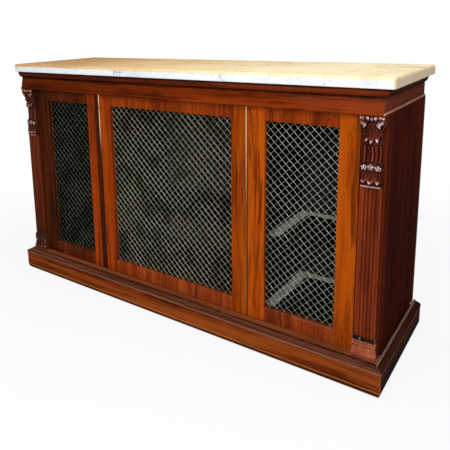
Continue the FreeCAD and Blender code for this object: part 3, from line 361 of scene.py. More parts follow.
inside_shade, given, out = effect("painted_inside_shade_and_light", {"Place": "Vector", "Timber": "Color", "Inside": "Float"},
                            {"Color": "Color"})
apart = split(inside_shade, given["Place"])
frayed = times(inside_shade, minus(inside_shade, cloudy(inside_shade, given["Place"], 55, 5, 0.7), 0.5), 0.034)
from_side = minus(inside_shade, apart[0], BAY_CORNER[0])
from_back = minus(inside_shade, BAY_CORNER[1], apart[1])
light_patch = most(inside_shade, level(inside_shade, sums(inside_shade, "ADD", from_side, frayed), 0.044, 0.036),
              level(inside_shade, sums(inside_shade, "ADD", from_back, frayed), 0.040, 0.030))
faces_up = level(inside_shade, outward(inside_shade)[2], 0.6, 0.8)
light_patch = times(inside_shade, light_patch, times(inside_shade, level(inside_shade, from_side, -0.001, 0), faces_up))
speckle = cloudy(inside_shade, given["Place"], 90, 4, 0.65)
shade_colour = stain(inside_shade, level(inside_shade, speckle, 0.35, 0.75), tone(7, 10, 8), tone(19, 21, 17))
painted_light_tone = stain(inside_shade, level(inside_shade, speckle, 0.40, 0.62), tone(232, 232, 214), tone(150, 144, 122))
patch_rim = stain(inside_shade, level(inside_shade, light_patch, 0.02, 0.30, 0, 0.7), shade_colour, tone(58, 34, 16))
shade_colour = stain(inside_shade, level(inside_shade, light_patch, 0.30, 0.70), patch_rim, painted_light_tone)
inside_shade.links.new(stain(inside_shade, given["Inside"], given["Timber"], shade_colour), out["Color"])


def painted(made):
    """A finished material's nodes, its colour socket, the colour that feeds it, and the place."""
    tree = made.node_tree
    socket = next(n for n in tree.nodes if n.type == "BSDF_PRINCIPLED").inputs["Base Color"]
    return tree, socket, socket.links[0].from_socket, put(tree, "TexCoord").outputs["Object"]


def shaded_inside(made, where):
    """Paint the dark inside shade, with its patch of painted light, over a board: behind the doors, on its
    front, or on its inward face.
    """
    tree, socket, timber, place = painted(made)
    across, deep, _ = split(tree, place)
    facing = outward(tree)
    if where == "behind":
        inside = level(tree, deep, BEHIND_DOORS, BEHIND_DOORS + 0.004)
    elif where == "front":
        inside = level(tree, facing[1], -0.3, -0.7)
    else:
        inside = level(tree, times(tree, across, facing[0]), -0.2, -0.5)
    tree.links.new(use(tree, inside_shade, Place=place, Timber=timber, Inside=inside)[0], socket)
    return made


floor_wood = rosewood("floor_board_wood", "across", 7, (84, 38, 18), (136, 70, 34), (168, 98, 58), stripe=20,
                      roughness=0.5, wax_and_shade=0.8, rub=0.7, rub_tone=(196, 140, 104))
finish_node("bottom_board", shaded_inside(floor_wood, "behind"), EASED)
for side, seed in (("left", 8), ("right", 9)):
    # The end panels are painted much darker than the front wood, as shade, and darker again on their lower
    # part.
    panel_wood = rosewood("end_panel_veneer_shaded_" + side, "up", seed, (26, 8, 5), (64, 20, 9), (92, 32, 16),
                          stripe=9, figure=0.7, lines=0.35, rub=0.4, gloss=0.008,
                          bands=((-0.10, 0.60, (20, 6, 3), 0.45),))
    post_wood = rosewood("post_wood_" + side, "up", seed + 10, (24, 8, 5), (60, 19, 8), (86, 30, 14),
                         stripe=24, rub=0.8, gloss=0.01, rub_tone=(150, 60, 32))
    partition_wood = rosewood("partition_wood_" + side, "up", seed + 20, (20, 10, 6), (46, 25, 15),
                              (66, 38, 24), roughness=0.6, rub=0)
    finish_node("side_panel_" + side, shaded_inside(panel_wood, "inward"), EASED)
    finish_node("post_" + side, post_wood, EASED)
    finish_node("partition_" + side, shaded_inside(partition_wood, "behind"), NEAT)
rail_wood = rosewood("front_rail_wood", "across", 11, (22, 10, 6), (52, 26, 15), (74, 40, 24), roughness=0.5,
                     rub=0)
finish_node("front_rail", rail_wood, NEAT)
back_low, back_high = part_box("back_boards")
back_pine = plain_pine("pine_back_boards", "up", 12, (back_high.x - back_low.x) / BACK_BOARDS)
finish_node("back_boards", shaded_inside(back_pine, "front"), EASED)
finish_node("top_board", plain_pine("pine_top_board", "across", 13), EASED)


# ---- shelves --------------------------------------------------------------------------------------
# One loose mahogany shelf in each bay, resting on small bearers screwed to the uprights. They are
# oiled rather than polished, and hold dust, with shade painted in their corners.

for name, seed in (("shelf_centre", 14), ("side_shelves", 15), ("shelf_bearers", 16)):
    mahogany = rosewood("mahogany_" + name, "across", seed, (34, 18, 11), (72, 42, 27), (104, 66, 44),
                        roughness=0.6, rub=0.3, wax_and_shade=0.9)
    finish_node(name, shaded_inside(mahogany, "behind"), NEAT)


# ---- pilasters ------------------------------------------------------------------------------------
# A reeded rosewood shaft on each corner post stands on a moulded block with a collar of leaves.
# They are worked in the solid and glued to the post; the crowns of the reeds are rubbed.

def base_wood(name, seed, dark, middle, light, low, high):
    """A light square block worn at its arrises, under a carved collar of leaves painted dark as shade, with
    painted highlights on the leaf tips.
    """
    made = rosewood(name, "up", seed, dark, middle, light, rub=0.9, rub_tone=(206, 140, 100), wax_and_shade=1,
                    wax_and_shade_tone=(16, 8, 6))
    tree, socket, block, place = painted(made)
    wander = sums(tree, "MULTIPLY_ADD", cloudy(tree, place, 120, 3), 0.003, split(tree, place)[2])
    collar = level(tree, wander, high.z - 0.0125, high.z - 0.0090)
    step = level(tree, wander, low.z + 0.0145, low.z + 0.0125)
    tip_highlight = use(tree, rubbed, Place=place, Width=0.0028)[0]
    mottle = level(tree, cloudy(tree, place, 160, 3, 0.6), 0.4, 0.7)
    carved = stain(tree, mottle, tone(20, 10, 8), tone(52, 26, 18))
    carved = stain(tree, times(tree, tip_highlight, 0.9), carved, tone(190, 180, 172))
    block = stain(tree, times(tree, step, 0.6), block, tone(112, 40, 20))
    tree.links.new(stain(tree, collar, block, carved), socket)
    return made


# The left pilaster's tones are painted darker than the right's, as shade.
REED_TONES = {"left": ((26, 9, 5), (74, 28, 13), (104, 44, 22)),
              "right": ((34, 11, 5), (94, 34, 13), (132, 54, 23))}
BASE_TONES = {"left": ((30, 12, 8), (58, 27, 17), (78, 43, 30)),
              "right": ((72, 28, 17), (136, 64, 40), (174, 100, 70))}
for side, seed in (("left", 17), ("right", 18)):
    reeded = rosewood("reeded_wood_" + side, "up", seed, *REED_TONES[side], roughness=0.40, rub=0.6,
                      gloss=0.06, rub_tone=(172, 76, 44), wax_and_shade=1, wax_and_shade_tone=(9, 4, 3))
    finish_node("pilaster_shaft_" + side, reeded)
    block_wood = base_wood("base_wood_" + side, seed + 20, *BASE_TONES[side],
                           *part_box("pilaster_base_" + side))
    finish_node("pilaster_base_" + side, block_wood)


# ---- consoles -------------------------------------------------------------------------------------
# Each shaft carries an S-shaped console carved from one block of rosewood: a leaf with rolled lobes
# and three curled tips, a reeded neck, three rosettes and three petals on an astragal.

CONSOLE_TALL = 204     # millimetres, over all
CONSOLE_DEEP = 33      # in front of the post
CONSOLE_HALF = 34.5    # half of the leaf's width
CORNER = 6             # rounding between the front and the flanks
ASTRAGAL = 10          # height of the plain bead at the foot
SUNK = -2.6            # the ground between the leaves, from the block's face
REED_WIDE = 10.8
ROSETTES_UP, ROSETTES_APART = 59, 19.6
GRID_ACROSS, GRID_UP = 145, 272
FRONT_PART, CORNER_PART, FLANK_PART = 0.64, 0.14, 0.22   # of the grid, from the middle to the post

# Height up the block, depth in front of the post, half width, all in millimetres.
CONSOLE_SHAPE = np.array([
    (0, 15, 28.5), (1.5, 18, 30.6), (4.5, 18.8, 31.2), (7.5, 17.6, 30.2), (9.5, 13.6, 27.6),
    (13, 17, 29), (18, 18.2, 29.8), (30, 17.2, 29), (44, 16.4, 29), (50, 18, 30),
    (58, 19.6, 31), (66, 18.2, 30), (71, 13.4, 27.8), (76, 11, 27), (92, 10.2, 26.6),
    (108, 10.6, 26.6), (116, 11.4, 27), (120.5, 13, 27.4), (125, 18.6, 28.6), (131, 21.4, 29.6),
    (138, 20.8, 29.2), (144, 17.4, 26.8), (149, 16.6, 26.2), (154, 18, 29.6), (160, 19.8, 30.8),
    (166, 21.4, 29), (170, 23, 28.6), (175, 25, 33), (183, 27.6, 34.4), (190, 28.6, 34),
    (194, 27.6, 33), (199, 29.6, 34), (204, 30.4, 34.4)])

# The leaves on the right half, mirrored on the left: root across and up, lean in degrees, length, half
# width, lift above the block, ground that it springs from, and how bright a highlight is painted on its tip.
# Lengths are in millimetres.
LEAVES = (
    (0, 207, 0, 15, 5, 3, 1.6, 1), (10.6, 207, 4, 15, 5, 3, 1.6, 0.9),
    (21, 207, 7, 15, 4.8, 3, 1.4, 1), (30, 206, 4, 14, 4.2, 2.6, 1.2, 0.9),
    (4, 200, 34, 30, 5, 3.8, 0.6, 1.1), (9, 200, 24, 32, 5.4, 4.4, 0.8, 1.3),
    (15, 200, 12, 26, 5, 4.2, 0.9, 0.6), (22.5, 199, 0, 23, 4.8, 3.8, 0.8, 1),
    (29.5, 198, -4, 19, 4.6, 3.2, 0.4, 1.2),
    (0, 190, 0, 63, 8.2, 4.4, -0.2, 0.8), (1.5, 188, 15, 60, 8.2, 4.6, -0.6, 1.1),
    (3, 187, 30, 44, 7.4, 3, -1, 0.15),
    (0, 51, 0, 41, 9.8, 4.8, -1.4, 1), (19.4, 51, 0, 41, 9.2, 4.4, -1.4, 1),
    (9.7, 47, 0, 28, 3.4, 2.4, -1.8, 0.3))


def smooth(edge_low, edge_high, v):
    """A soft step from 0 to 1."""
    t = np.clip((v - edge_low) / (edge_high - edge_low), 0, 1)
    return t * t * (3 - 2 * t)


def curl(across, up, at_across, at_up, radius, thick):
    """A raised ring, such as the rim of a rolled leaf."""
    away = np.hypot(across - at_across, up - at_up)
    return np.exp(-((away - radius) / thick) ** 2)


def rosettes(across, up):
    """Three five-petalled rosettes side by side, each with a round eye."""
    side = np.abs(across)
    third = side - ROSETTES_APART * smooth(9, 10.5, side)
    away, around = np.hypot(third, up - ROSETTES_UP), np.arctan2(third, up - ROSETTES_UP)
    petals = (1.4 + 2.2 * (0.5 + 0.5 * np.cos(5 * around))) * smooth(9.6, 7.4, away) * smooth(1.4, 4.2, away)
    return petals + 3.6 * np.sqrt(np.clip(1 - (away / 2.9) ** 2, 0, 1))


def front_relief(across, up):
    """The carving on the front, in millimetres above the block, and a painted highlight on the curled leaf
    tips.
    """
    hand_across = 0.9 * np.sin(up / 9.1 + 0.4) + 0.6 * np.sin(across / 5.7 + up / 8.3)
    hand_up = 1.3 * np.sin(across / 6.3 + up / 15 + 0.6) + 0.7 * np.sin(up / 6.1 - across / 9)
    across, up = across + hand_across, up + hand_up * smooth(8, 16, up)
    reed = np.sqrt(np.clip(1 - (2.5 * ((across / REED_WIDE + 0.5) % 1) - 1.25) ** 2, 0, 1))
    neck = smooth(70, 76, up) * (1 - smooth(114, 120, up))
    rise = np.where(neck > 0, SUNK + neck * 4 * reed, SUNK)
    tip_highlight = neck * 0.34 * smooth(0.60, 1, reed) * (0.6 + 0.4 * np.sin(across / 4 + 1))
    floret = rosettes(across, up)
    in_band = (up > 48) & (up < 70)
    rise = np.where(in_band, np.maximum(rise, floret - 2.2), rise)
    tip_highlight = np.where(in_band, smooth(0.8, 3.4, floret) * 0.9, tip_highlight)
    for root, high, lean, long, wide, lift, ground, tip_glint in LEAVES:
        for mirror in ((1,) if root == 0 else (1, -1)):
            lean_x, lean_z = mirror * math.sin(math.radians(lean)), -math.cos(math.radians(lean))
            from_x, from_z = across - mirror * root, up - high
            along = (from_x * lean_x + from_z * lean_z) / long
            beside = (from_x * lean_z - from_z * lean_x) / wide
            outline = np.sin(np.pi * np.clip(along, 0, 1) ** 1.25) ** 0.55 + 1e-6
            rounded = np.sqrt(np.clip(1 - (beside / outline) ** 2, 0, 1))
            rolled = np.exp(-((along * long - long + 6.6) / 5.6) ** 2)
            uneven = 0.80 + 0.35 * np.sin(across / 3.1 + up / 4.7) + 0.1 * mirror
            body = lift * (0.35 + 0.40 * np.clip(along, 0, 1) + 0.55 * rolled)
            vein = 1.5 * np.exp(-(beside / 0.17) ** 2) * smooth(0.80, 0.66, along)
            on_leaf = (along > 0) & (along < 1) & (rounded > 0)
            height = np.where(on_leaf, ground + body * rounded ** 0.8 - vein, -9)
            tip_highlight = np.where(height > rise, tip_glint * rolled * rounded * uneven, tip_highlight)
            rise = np.maximum(rise, height)
    bead_highlight = 0.7 * smooth(1, 3.5, up) * smooth(7, 5, up)
    return np.where(up < ASTRAGAL, 0, rise), np.where(up < ASTRAGAL, bead_highlight, tip_highlight)


def flank_relief(out, up):
    """The volutes on the flanks; out is millimetres in front of the post."""
    rise = 1.5 * (curl(out, up, 13, 176, 9.4, 1.7) + curl(out, up, 13, 176, 4, 1.5))
    rise += 1.5 * (curl(out, up, 9.5, 50, 7.4, 1.5) + curl(out, up, 9.5, 50, 2.8, 1.3))
    stem = 8 + 2.6 * np.cos((up - 60) / 36)
    rise += 1.3 * np.exp(-((out - stem) / 1.5) ** 2) * smooth(62, 70, up) * (1 - smooth(156, 166, up))
    return rise - 0.9


def spread(values, reach):
    """A running mean over the grid, both ways."""
    kernel = np.ones(2 * reach + 1) / (2 * reach + 1)
    for axis in (0, 1):
        values = np.apply_along_axis(
            lambda row: np.convolve(np.pad(row, reach, "edge"), kernel, "valid"), axis, values)
    return values


def placed(name, data):
    """A mesh, a lamp or the camera put into the scene."""
    thing = bpy.data.objects.new(name, data)
    bpy.context.scene.collection.objects.link(thing)
    return thing


def new_piece(name, points, faces, material, rounded):
    """A new mesh in the scene; as many of its first faces as rounded says are shaded round."""
    mesh = bpy.data.meshes.new(name)
    mesh.from_pydata(points, [], faces)
    mesh.polygons.foreach_set("use_smooth", [number < rounded for number in range(len(faces))])
    mesh.materials.append(material)
    return placed(name, mesh)


def mark(piece, name, values):
    """A value at each point of a piece, for its material to read."""
    piece.data.attributes.new(name, "FLOAT", "POINT").data.foreach_set("value", values)


def carved_console(side, material):
    """The carved block as one closed skin, with its hollows marked for painted shade and its crests for
    painted highlights and the polish.
    """
    low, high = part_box("console_" + side)
    middle, face = (low.x + high.x) / 2, high.y
    up = np.linspace(0, CONSOLE_TALL, GRID_UP)
    deep, half = (np.interp(up, CONSOLE_SHAPE[:, 0], CONSOLE_SHAPE[:, column]) for column in (1, 2))
    softening = np.hanning(9)[1:-1] / 4
    deep, half = (np.convolve(np.pad(line, 3, "edge"), softening, "valid")[:, None] for line in (deep, half))
    run, rows = np.meshgrid(np.linspace(-1, 1, GRID_ACROSS), up)
    sign, way = np.sign(run), np.abs(run)
    turned = np.clip((way - FRONT_PART) / CORNER_PART, 0, 1) * math.pi / 2
    back = np.clip((way - FRONT_PART - CORNER_PART) / FLANK_PART, 0, 1)
    on_front = way <= FRONT_PART
    x = np.where(on_front, way / FRONT_PART * (half - CORNER), half - CORNER + CORNER * np.sin(turned))
    y = np.where(on_front, deep, deep - CORNER + CORNER * np.cos(turned)) - back * (deep - CORNER)
    crown = 1.6 * (1 - np.clip(x / half, 0, 1) ** 2)
    front_share = np.cos(turned) ** 2
    leaves_rise, tip_highlight = front_relief(sign * x, rows)
    rise = front_share * spread(leaves_rise, 1) + (1 - front_share) * flank_relief(y, rows)
    rise = rise * smooth(0, 2, y)
    x = sign * np.clip(x + rise * np.sin(turned), 0, CONSOLE_HALF)
    y = np.clip(y + (rise + crown) * np.cos(turned), 0, CONSOLE_DEEP)
    z = low.z + rows * (high.z - low.z) / CONSOLE_TALL
    turn = 1 if side == "right" else -1
    points = np.stack((middle + turn * x / 1000, face - y / 1000, z), -1).reshape(-1, 3)
    faces = []
    for row in range(GRID_UP - 1):
        left = row * GRID_ACROSS
        columns = range(left, left + GRID_ACROSS - 1)
        faces += [(a, a + 1, a + GRID_ACROSS + 1, a + GRID_ACROSS) for a in columns]
        faces.append((left + GRID_ACROSS - 1, left, left + GRID_ACROSS, left + 2 * GRID_ACROSS - 1))
    faces.append(tuple(range(GRID_ACROSS))[::-1])
    faces.append(tuple(range((GRID_UP - 1) * GRID_ACROSS, GRID_UP * GRID_ACROSS)))
    piece = new_piece("carved_console_" + side, points.tolist(), [quad[::turn] for quad in faces], material,
                      len(faces) - 2)
    sunk = (spread(rise, 5) - rise) / 1.6
    for name, values in (("hollow_shade", sunk), ("crest_highlight", np.maximum(tip_highlight * front_share, -sunk * 0.4))):
        mark(piece, name, np.clip(values, 0, 1).astype(np.float32).ravel())
    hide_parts("console_" + side)
    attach(piece, "carcass")


def carved_wood(name, seed, dark, middle, light, shine):
    """Dark carved rosewood: painted shade, near black, in the hollows, and painted highlights on the crests
    and leaf tips, which also carry the most polish.
    """
    made = rosewood(name, "up", seed, dark, middle, light, stripe=34, rub=0, wax_and_shade=0)
    tree, socket, colour, place = painted(made)
    hollow_shade, crest_highlight = (put(tree, "Attribute", {"attribute_name": mark_name}).outputs["Fac"]
                     for mark_name in ("hollow_shade", "crest_highlight"))
    closed_shade = use(tree, settled_wax_and_shade, Place=place)[0]
    spots = level(tree, cloudy(tree, place, 110, 4, 0.7), 0.36, 0.60, 0.20, shine)
    colour = stain(tree, level(tree, hollow_shade, 0.02, 0.40, 0, 0.97), colour, tone(8, 6, 4))
    colour = stain(tree, level(tree, closed_shade, 0.05, 0.7, 0, 0.9), colour, tone(8, 6, 4))
    colour = stain(tree, level(tree, crest_highlight, 0.04, 0.42, 0, 0.8), colour, tone(128, 52, 32))
    wear_and_highlight = times(tree, level(tree, crest_highlight, 0.40, 0.88), spots)
    tree.links.new(stain(tree, wear_and_highlight, colour, tone(204, 204, 214)), socket)
    tree.links.new(level(tree, crest_highlight, 0.05, 0.8, 0.08, 1), socket.node.inputs["Coat Weight"])
    return made


# The left console has darker tones and weaker painted highlights, as painted shade.
carved_console("left", carved_wood("carved_wood_left", 21, (16, 7, 5), (50, 19, 11), (76, 32, 20), 0.5))
carved_console("right", carved_wood("carved_wood_right", 22, (18, 7, 5), (64, 23, 12), (98, 38, 22), 1))


# ---- frieze and cornice ---------------------------------------------------------------------------
# The frieze is a mitred rosewood board on the front and the ends, with a bead along its lower edge.
# A small cornice moulding is planted on it under the slab.

def shaded_across(made, start, end, strength, shade, ragged=0):
    """Painted shade that deepens across a piece, from start to end in metres, with a ragged edge."""
    tree, socket, wood, place = painted(made)
    across = split(tree, place)[0]
    if ragged:
        across = sums(tree, "MULTIPLY_ADD", cloudy(tree, place, 30, 3), ragged, across)
    tree.links.new(stain(tree, level(tree, across, start, end, 0, strength), wood, tone(*shade)), socket)
    return made


# Painted shade: the front pieces grow darker towards the left end.
TO_LEFT_END = (0.25, -0.55)
LEFT_SHADE_TONE = (26, 8, 3)
# Painted lines: a highlight along the bead, a shadow under the cornice, and shadows under the slab and the
# cornice's lip.
BEAD_HIGHLIGHT_LINE = (0.8285, 0.8325)
UNDER_CORNICE_SHADOW = (0.8690, 0.8745, (18, 7, 4), 0.85)
CORNICE_SHADOW_BANDS = ((0.8915, 0.9000, (10, 4, 3), 0.9), (0.8735, 0.8765, (14, 5, 3), 0.8))

front_wood = rosewood("frieze_veneer", "across", 23, (38, 10, 3), (104, 35, 7), (134, 52, 11), stripe=24,
                      figure=0.75, lines=0.6, rub=0.2, gloss=0.02, rub_tone=(176, 80, 40),
                      bands=((*BEAD_HIGHLIGHT_LINE, (166, 74, 34), 0.25), UNDER_CORNICE_SHADOW))
end_wood = rosewood("frieze_end_veneer", "deep", 24, (42, 14, 7), (100, 40, 21), (128, 56, 32), stripe=14,
                    figure=0.8, rub=0.7, gloss=0.03, rub_tone=(200, 150, 134),
                    bands=((*BEAD_HIGHLIGHT_LINE, (206, 148, 128), 0.9), UNDER_CORNICE_SHADOW))
finish_node("frieze_front", shaded_across(front_wood, *TO_LEFT_END, 0.5, LEFT_SHADE_TONE), NEAT)
finish_node("frieze_returns", end_wood, NEAT)
front_wood = rosewood("cornice_wood", "across", 25, (34, 11, 5), (84, 28, 9), (110, 42, 15), rub=0.6,
                      gloss=0.05, wax_and_shade=0.9, wax_and_shade_tone=(14, 6, 4), bands=CORNICE_SHADOW_BANDS)
# The cornice's end moulding is painted darker than its front, as shade.
end_wood = rosewood("cornice_end_wood_shaded", "deep", 26, (18, 6, 4), (50, 17, 9), (70, 28, 16), rub=0.5,
                    gloss=0.03, wax_and_shade=0.9, wax_and_shade_tone=(12, 5, 4), bands=CORNICE_SHADOW_BANDS)
finish_node("cornice_front", shaded_across(front_wood, *TO_LEFT_END, 0.45, LEFT_SHADE_TONE), CRISP)
finish_node("cornice_returns", end_wood, CRISP)


# ---- doors ----------------------------------------------------------------------------------------
# Three framed doors, mortised and tenoned, veneered along the stiles and crossbanded on the rails.
# Each is hung on brass pivots and glazed with a grille instead of glass.

# Crossbanding: leaves of veneer laid side by side, each with the crown of its figure, and the seams.
leaves, given, out = effect("crossbanded_leaves", {"Place": "Vector", "Leaf": "Float", "Crown": "Float"},
                            {"Mask": "Float"})
apart = split(leaves, given["Place"])
sway = cloudy(leaves, stretched(leaves, given["Place"], 1, 1, 0.6), 22, 2)
along = sums(leaves, "MULTIPLY_ADD", minus(leaves, sway, 0.5), 0.030, apart[0])
half_leaf = times(leaves, given["Leaf"], 0.5)
beside = sums(leaves, "WRAP", along, half_leaf, times(leaves, half_leaf, -1))
beside = sums(leaves, "ABSOLUTE", beside)
bowed = times(leaves, sums(leaves, "POWER", beside, 2), 260)
arch = minus(leaves, minus(leaves, given["Crown"], apart[2]), bowed)
inner = level(leaves, distance(leaves, arch, 0.010), 0.0042, 0.0010)
outer = level(leaves, distance(leaves, arch, -0.006), 0.0050, 0.0010)
crowns = most(leaves, inner, times(leaves, outer, 0.6))
crowns = times(leaves, crowns, level(leaves, beside, 0.020, 0.012))
seam = level(leaves, minus(leaves, half_leaf, beside), 0.0024, 0.0008)
flank = level(leaves, distance(leaves, beside, 0.034), 0.0024, 0.0006)
marks = most(leaves, times(leaves, seam, 0.7), times(leaves, flank, 0.5))
marks = most(leaves, times(leaves, crowns, 0.75), marks)
broken = level(leaves, cloudy(leaves, given["Place"], 70, 3, 0.6), 0.30, 0.60, 0.35, 1)
leaves.links.new(times(leaves, marks, broken), out["Mask"])

# The left door's hinge stile is painted much darker than the others, as shade.
STILE_TONES = {
    "left_door_hinge_stile": ((18, 6, 3), (54, 20, 6), (74, 30, 9)),
    "left_door_lock_stile": ((58, 16, 4), (130, 45, 6), (160, 64, 10)),
    "centre_door_hinge_stile": ((70, 19, 4), (134, 48, 6), (158, 64, 9)),
    "centre_door_lock_stile": ((68, 20, 3), (138, 56, 6), (166, 78, 10)),
    "right_door_lock_stile": ((76, 22, 4), (148, 58, 6), (174, 78, 9)),
    "right_door_hinge_stile": ((66, 20, 3), (138, 56, 5), (166, 74, 8))}
# Tones of the veneer and of its rubbed arrises.
RAIL_TONES = {"top": ((34, 8, 3), (118, 43, 8), (152, 62, 13), (170, 84, 36)),
              "bottom": ((52, 15, 6), (122, 46, 14), (154, 68, 24), (176, 160, 144))}
CROSSBAND_LEAF = 0.150
CROWN_BELOW_EDGE = 0.012
BEAD_EASE = 0.0005

for number, (name, tones) in enumerate(STILE_TONES.items()):
    veneer = rosewood("veneer_" + name, "up", 31 + number, *tones, stripe=36, lines=0.8, gloss=0.04,
                      rub=0.45, rub_tone=(196, 108, 44), wax_and_shade=0.4)
    # A painted shadow darkens this stile beside the brass strip.
    if name == "left_door_lock_stile":
        beside_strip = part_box(name)[1].x
        veneer = shaded_across(veneer, beside_strip - 0.024, beside_strip - 0.012, 0.85, (24, 9, 5), ragged=0.006)
    finish_node(name, veneer, EASED)
for number, door in enumerate(("left", "centre", "right")):
    for place, (*tones, rub_tone) in RAIL_TONES.items():
        name = "%s_door_%s_rail" % (door, place)
        leaf = {"Leaf": CROSSBAND_LEAF, "Crown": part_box(name)[1].z - CROWN_BELOW_EDGE}
        veneer = rosewood("crossband_%s_%s" % (door, place), "up", 41 + 2 * number + (place == "top"), *tones,
                          stripe=24, lines=0.7, gloss=0.05, rub=0.8, rub_tone=rub_tone, crossband=leaf)
        # Painted shade darkens the left door's rails towards the left end.
        if door == "left":
            veneer = shaded_across(veneer, *TO_LEFT_END, 0.6, LEFT_SHADE_TONE)
        finish_node(name, veneer, EASED)
    bead_wood = rosewood("bead_wood_" + door, "across", 51 + number, (30, 12, 7), (70, 32, 16), (100, 50, 26),
                         rub=0)
    finish_node(door + "_door_grille_beads", bead_wood, BEAD_EASE)


# ---- grilles --------------------------------------------------------------------------------------
# Brass wire, 1.2 mm wide, woven over and under at 45 degrees and crimped at each crossing. It
# lies in the door's rebate behind the beads, lacquered once and now dulled unevenly.

def brass(name, seed, bright, dull, dulled, roughness, over=0, dull_and_shaded_below=None):
    """Old lacquered brass, dulled in patches, darkened in its corners by dirt and painted shade, and with
    painted shade on the wires that lean one way.
    """
    made, tree, place = start_material(name)
    moved = laid(tree, place, "up", seed, (0.31, 0.17, 0.23))
    patch = level(tree, cloudy(tree, moved, 13, 5, 0.65, 0.5), 0.66 - dulled * 0.5, 0.80 - dulled * 0.3)
    # Below the given height the colour is painted duller, as shade, and rougher.
    if dull_and_shaded_below:
        patch = most(tree, patch, level(tree, split(tree, place)[2], dull_and_shaded_below + 0.2, dull_and_shaded_below - 0.1))
    speck = level(tree, cloudy(tree, moved, 240, 2, 0.5), 0.62, 0.74)
    dirt_and_shade = use(tree, settled_wax_and_shade, Place=moved, Reach=0.004)[0]
    colour = stain(tree, patch, tone(*bright), tone(*dull))
    colour = stain(tree, times(tree, speck, 0.5), colour, tone(*dull))
    colour = stain(tree, times(tree, dirt_and_shade, 0.7), colour, tone(54, 42, 28))
    if over:
        # Painted shade on the wires of one lean.
        shaded_wires = put(tree, "Attribute", {"attribute_name": "shaded_lean"}).outputs["Fac"]
        colour = stain(tree, times(tree, shaded_wires, over), colour, tone(34, 32, 22))
    rough = sums(tree, "MULTIPLY_ADD", patch, 0.18, sums(tree, "MULTIPLY_ADD", speck, 0.1, roughness))
    bump = put(tree, "Bump", Strength=0.2, Distance=0.0002, Height=cloudy(tree, moved, 700, 3)).outputs[0]
    show(tree, put(tree, "BsdfPrincipled", Base_Color=colour, Roughness=rough, Metallic=1, Normal=bump))
    return made


# Metres: between neighbouring wires, their width and thickness, and their gap to the rebate's edge.
WIRE_PITCH, WIRE_WIDE, WIRE_THICK, WIRE_GAP = 0.0184, 0.0012, 0.00105, 0.0012
WIRE_SECTION = ((-1, 0), (-0.72, 0.9), (0.72, 0.9), (1, 0), (0.72, -0.9), (-0.72, -0.9))
SHORTEST_WIRE, CLOSEST_RINGS = 0.004, 0.0002
DIAGONAL = math.sqrt(2)


def woven_grille(door, material):
    """Every wire of one door's grille, each a closed flat strip that waves over and under the others."""
    low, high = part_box(door + "_door_grille")
    middle = (low + high) / 2
    half_x, half_z = (high.x - low.x) / 2 - WIRE_GAP, (high.z - low.z) / 2 - WIRE_GAP
    swing = (high.y - low.y) / 2 - WIRE_THICK / 2
    corners = len(WIRE_SECTION)
    step = WIRE_PITCH / 4
    reach = int((half_x + half_z) / (WIRE_PITCH * DIAGONAL)) + 1
    points, faces, shaded_lean = [], [], []
    for lean in (1, -1):
        for number in range(-reach, reach + 1):
            shift = number * WIRE_PITCH * DIAGONAL
            along = lean * shift / DIAGONAL
            start = max(-half_x, min((-half_z - shift) * lean, (half_z - shift) * lean))
            end = min(half_x, max((-half_z - shift) * lean, (half_z - shift) * lean))
            if end - start < SHORTEST_WIRE:
                continue
            first = math.ceil((start * DIAGONAL + along) / step)
            last = math.floor((end * DIAGONAL + along) / step)
            stations = [start, *((n * step - along) / DIAGONAL for n in range(first, last + 1)), end]
            stations = [s for i, s in enumerate(stations) if i == 0 or s - stations[i - 1] > CLOSEST_RINGS]
            base = len(points)
            for s in stations:
                wave = math.cos(math.pi * (s * DIAGONAL + along) / WIRE_PITCH) * (-1) ** number * lean
                for a, b in WIRE_SECTION:
                    offset = a * WIRE_WIDE / 2 / DIAGONAL
                    points.append((middle.x + s - lean * offset, middle.y - swing * wave - b * WIRE_THICK / 2,
                                   middle.z + lean * s + shift + offset))
            shaded_lean += [max(lean, 0)] * (len(stations) * corners)
            for ring in range(base, len(points) - corners, corners):
                for corner in range(corners):
                    a, b = ring + corner, ring + (corner + 1) % corners
                    faces.append((a, b, b + corners, a + corners))
            faces.append(tuple(base + corner for corner in reversed(range(corners))))
            faces.append(tuple(range(len(points) - corners, len(points))))
    piece = new_piece(door + "_woven_grille", points, faces, material, len(faces))
    mark(piece, "shaded_lean", shaded_lean)
    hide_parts(door + "_door_grille")
    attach(piece, door + "_door")


# Seed, bright and dull tones, share that has dulled, roughness, and painted shade on the wires that lean one
# way.
# The left door's tones are painted darker than the others, as shade.
WIRE_BRASS = {"left": (61, (124, 126, 108), (86, 88, 72), 0.5, 0.50, 0.4),
              "centre": (62, (206, 202, 178), (146, 142, 118), 0.5, 0.46, 0.45),
              "right": (63, (190, 192, 178), (148, 150, 136), 0.4, 0.44, 0.3)}
for door, looks in WIRE_BRASS.items():
    woven_grille(door, brass(door + "_grille_brass", *looks))


# ---- brass trim and fittings ----------------------------------------------------------------------
# Half-round strips are pinned to both edges of the centre door. Pivots, the lock and its escutcheon,
# and the flush bolts of the outer doors are plain brass, let into the wood.

# Below this height the strips are painted duller, as shade.
STRIPS_DULL_AND_SHADED_BELOW = 0.56     # metres above the floor


def shaded_left_strip(made):
    """Painted shade turns the left strip almost black below the height where the strips are painted duller.
    """
    tree, socket, metal, place = painted(made)
    across, _, height = split(tree, place)
    left_shade = times(tree, level(tree, across, 0.05, -0.05),
                  level(tree, height, STRIPS_DULL_AND_SHADED_BELOW + 0.14, STRIPS_DULL_AND_SHADED_BELOW))
    tree.links.new(stain(tree, times(tree, left_shade, 0.9), metal, tone(30, 20, 14)), socket)
    return made


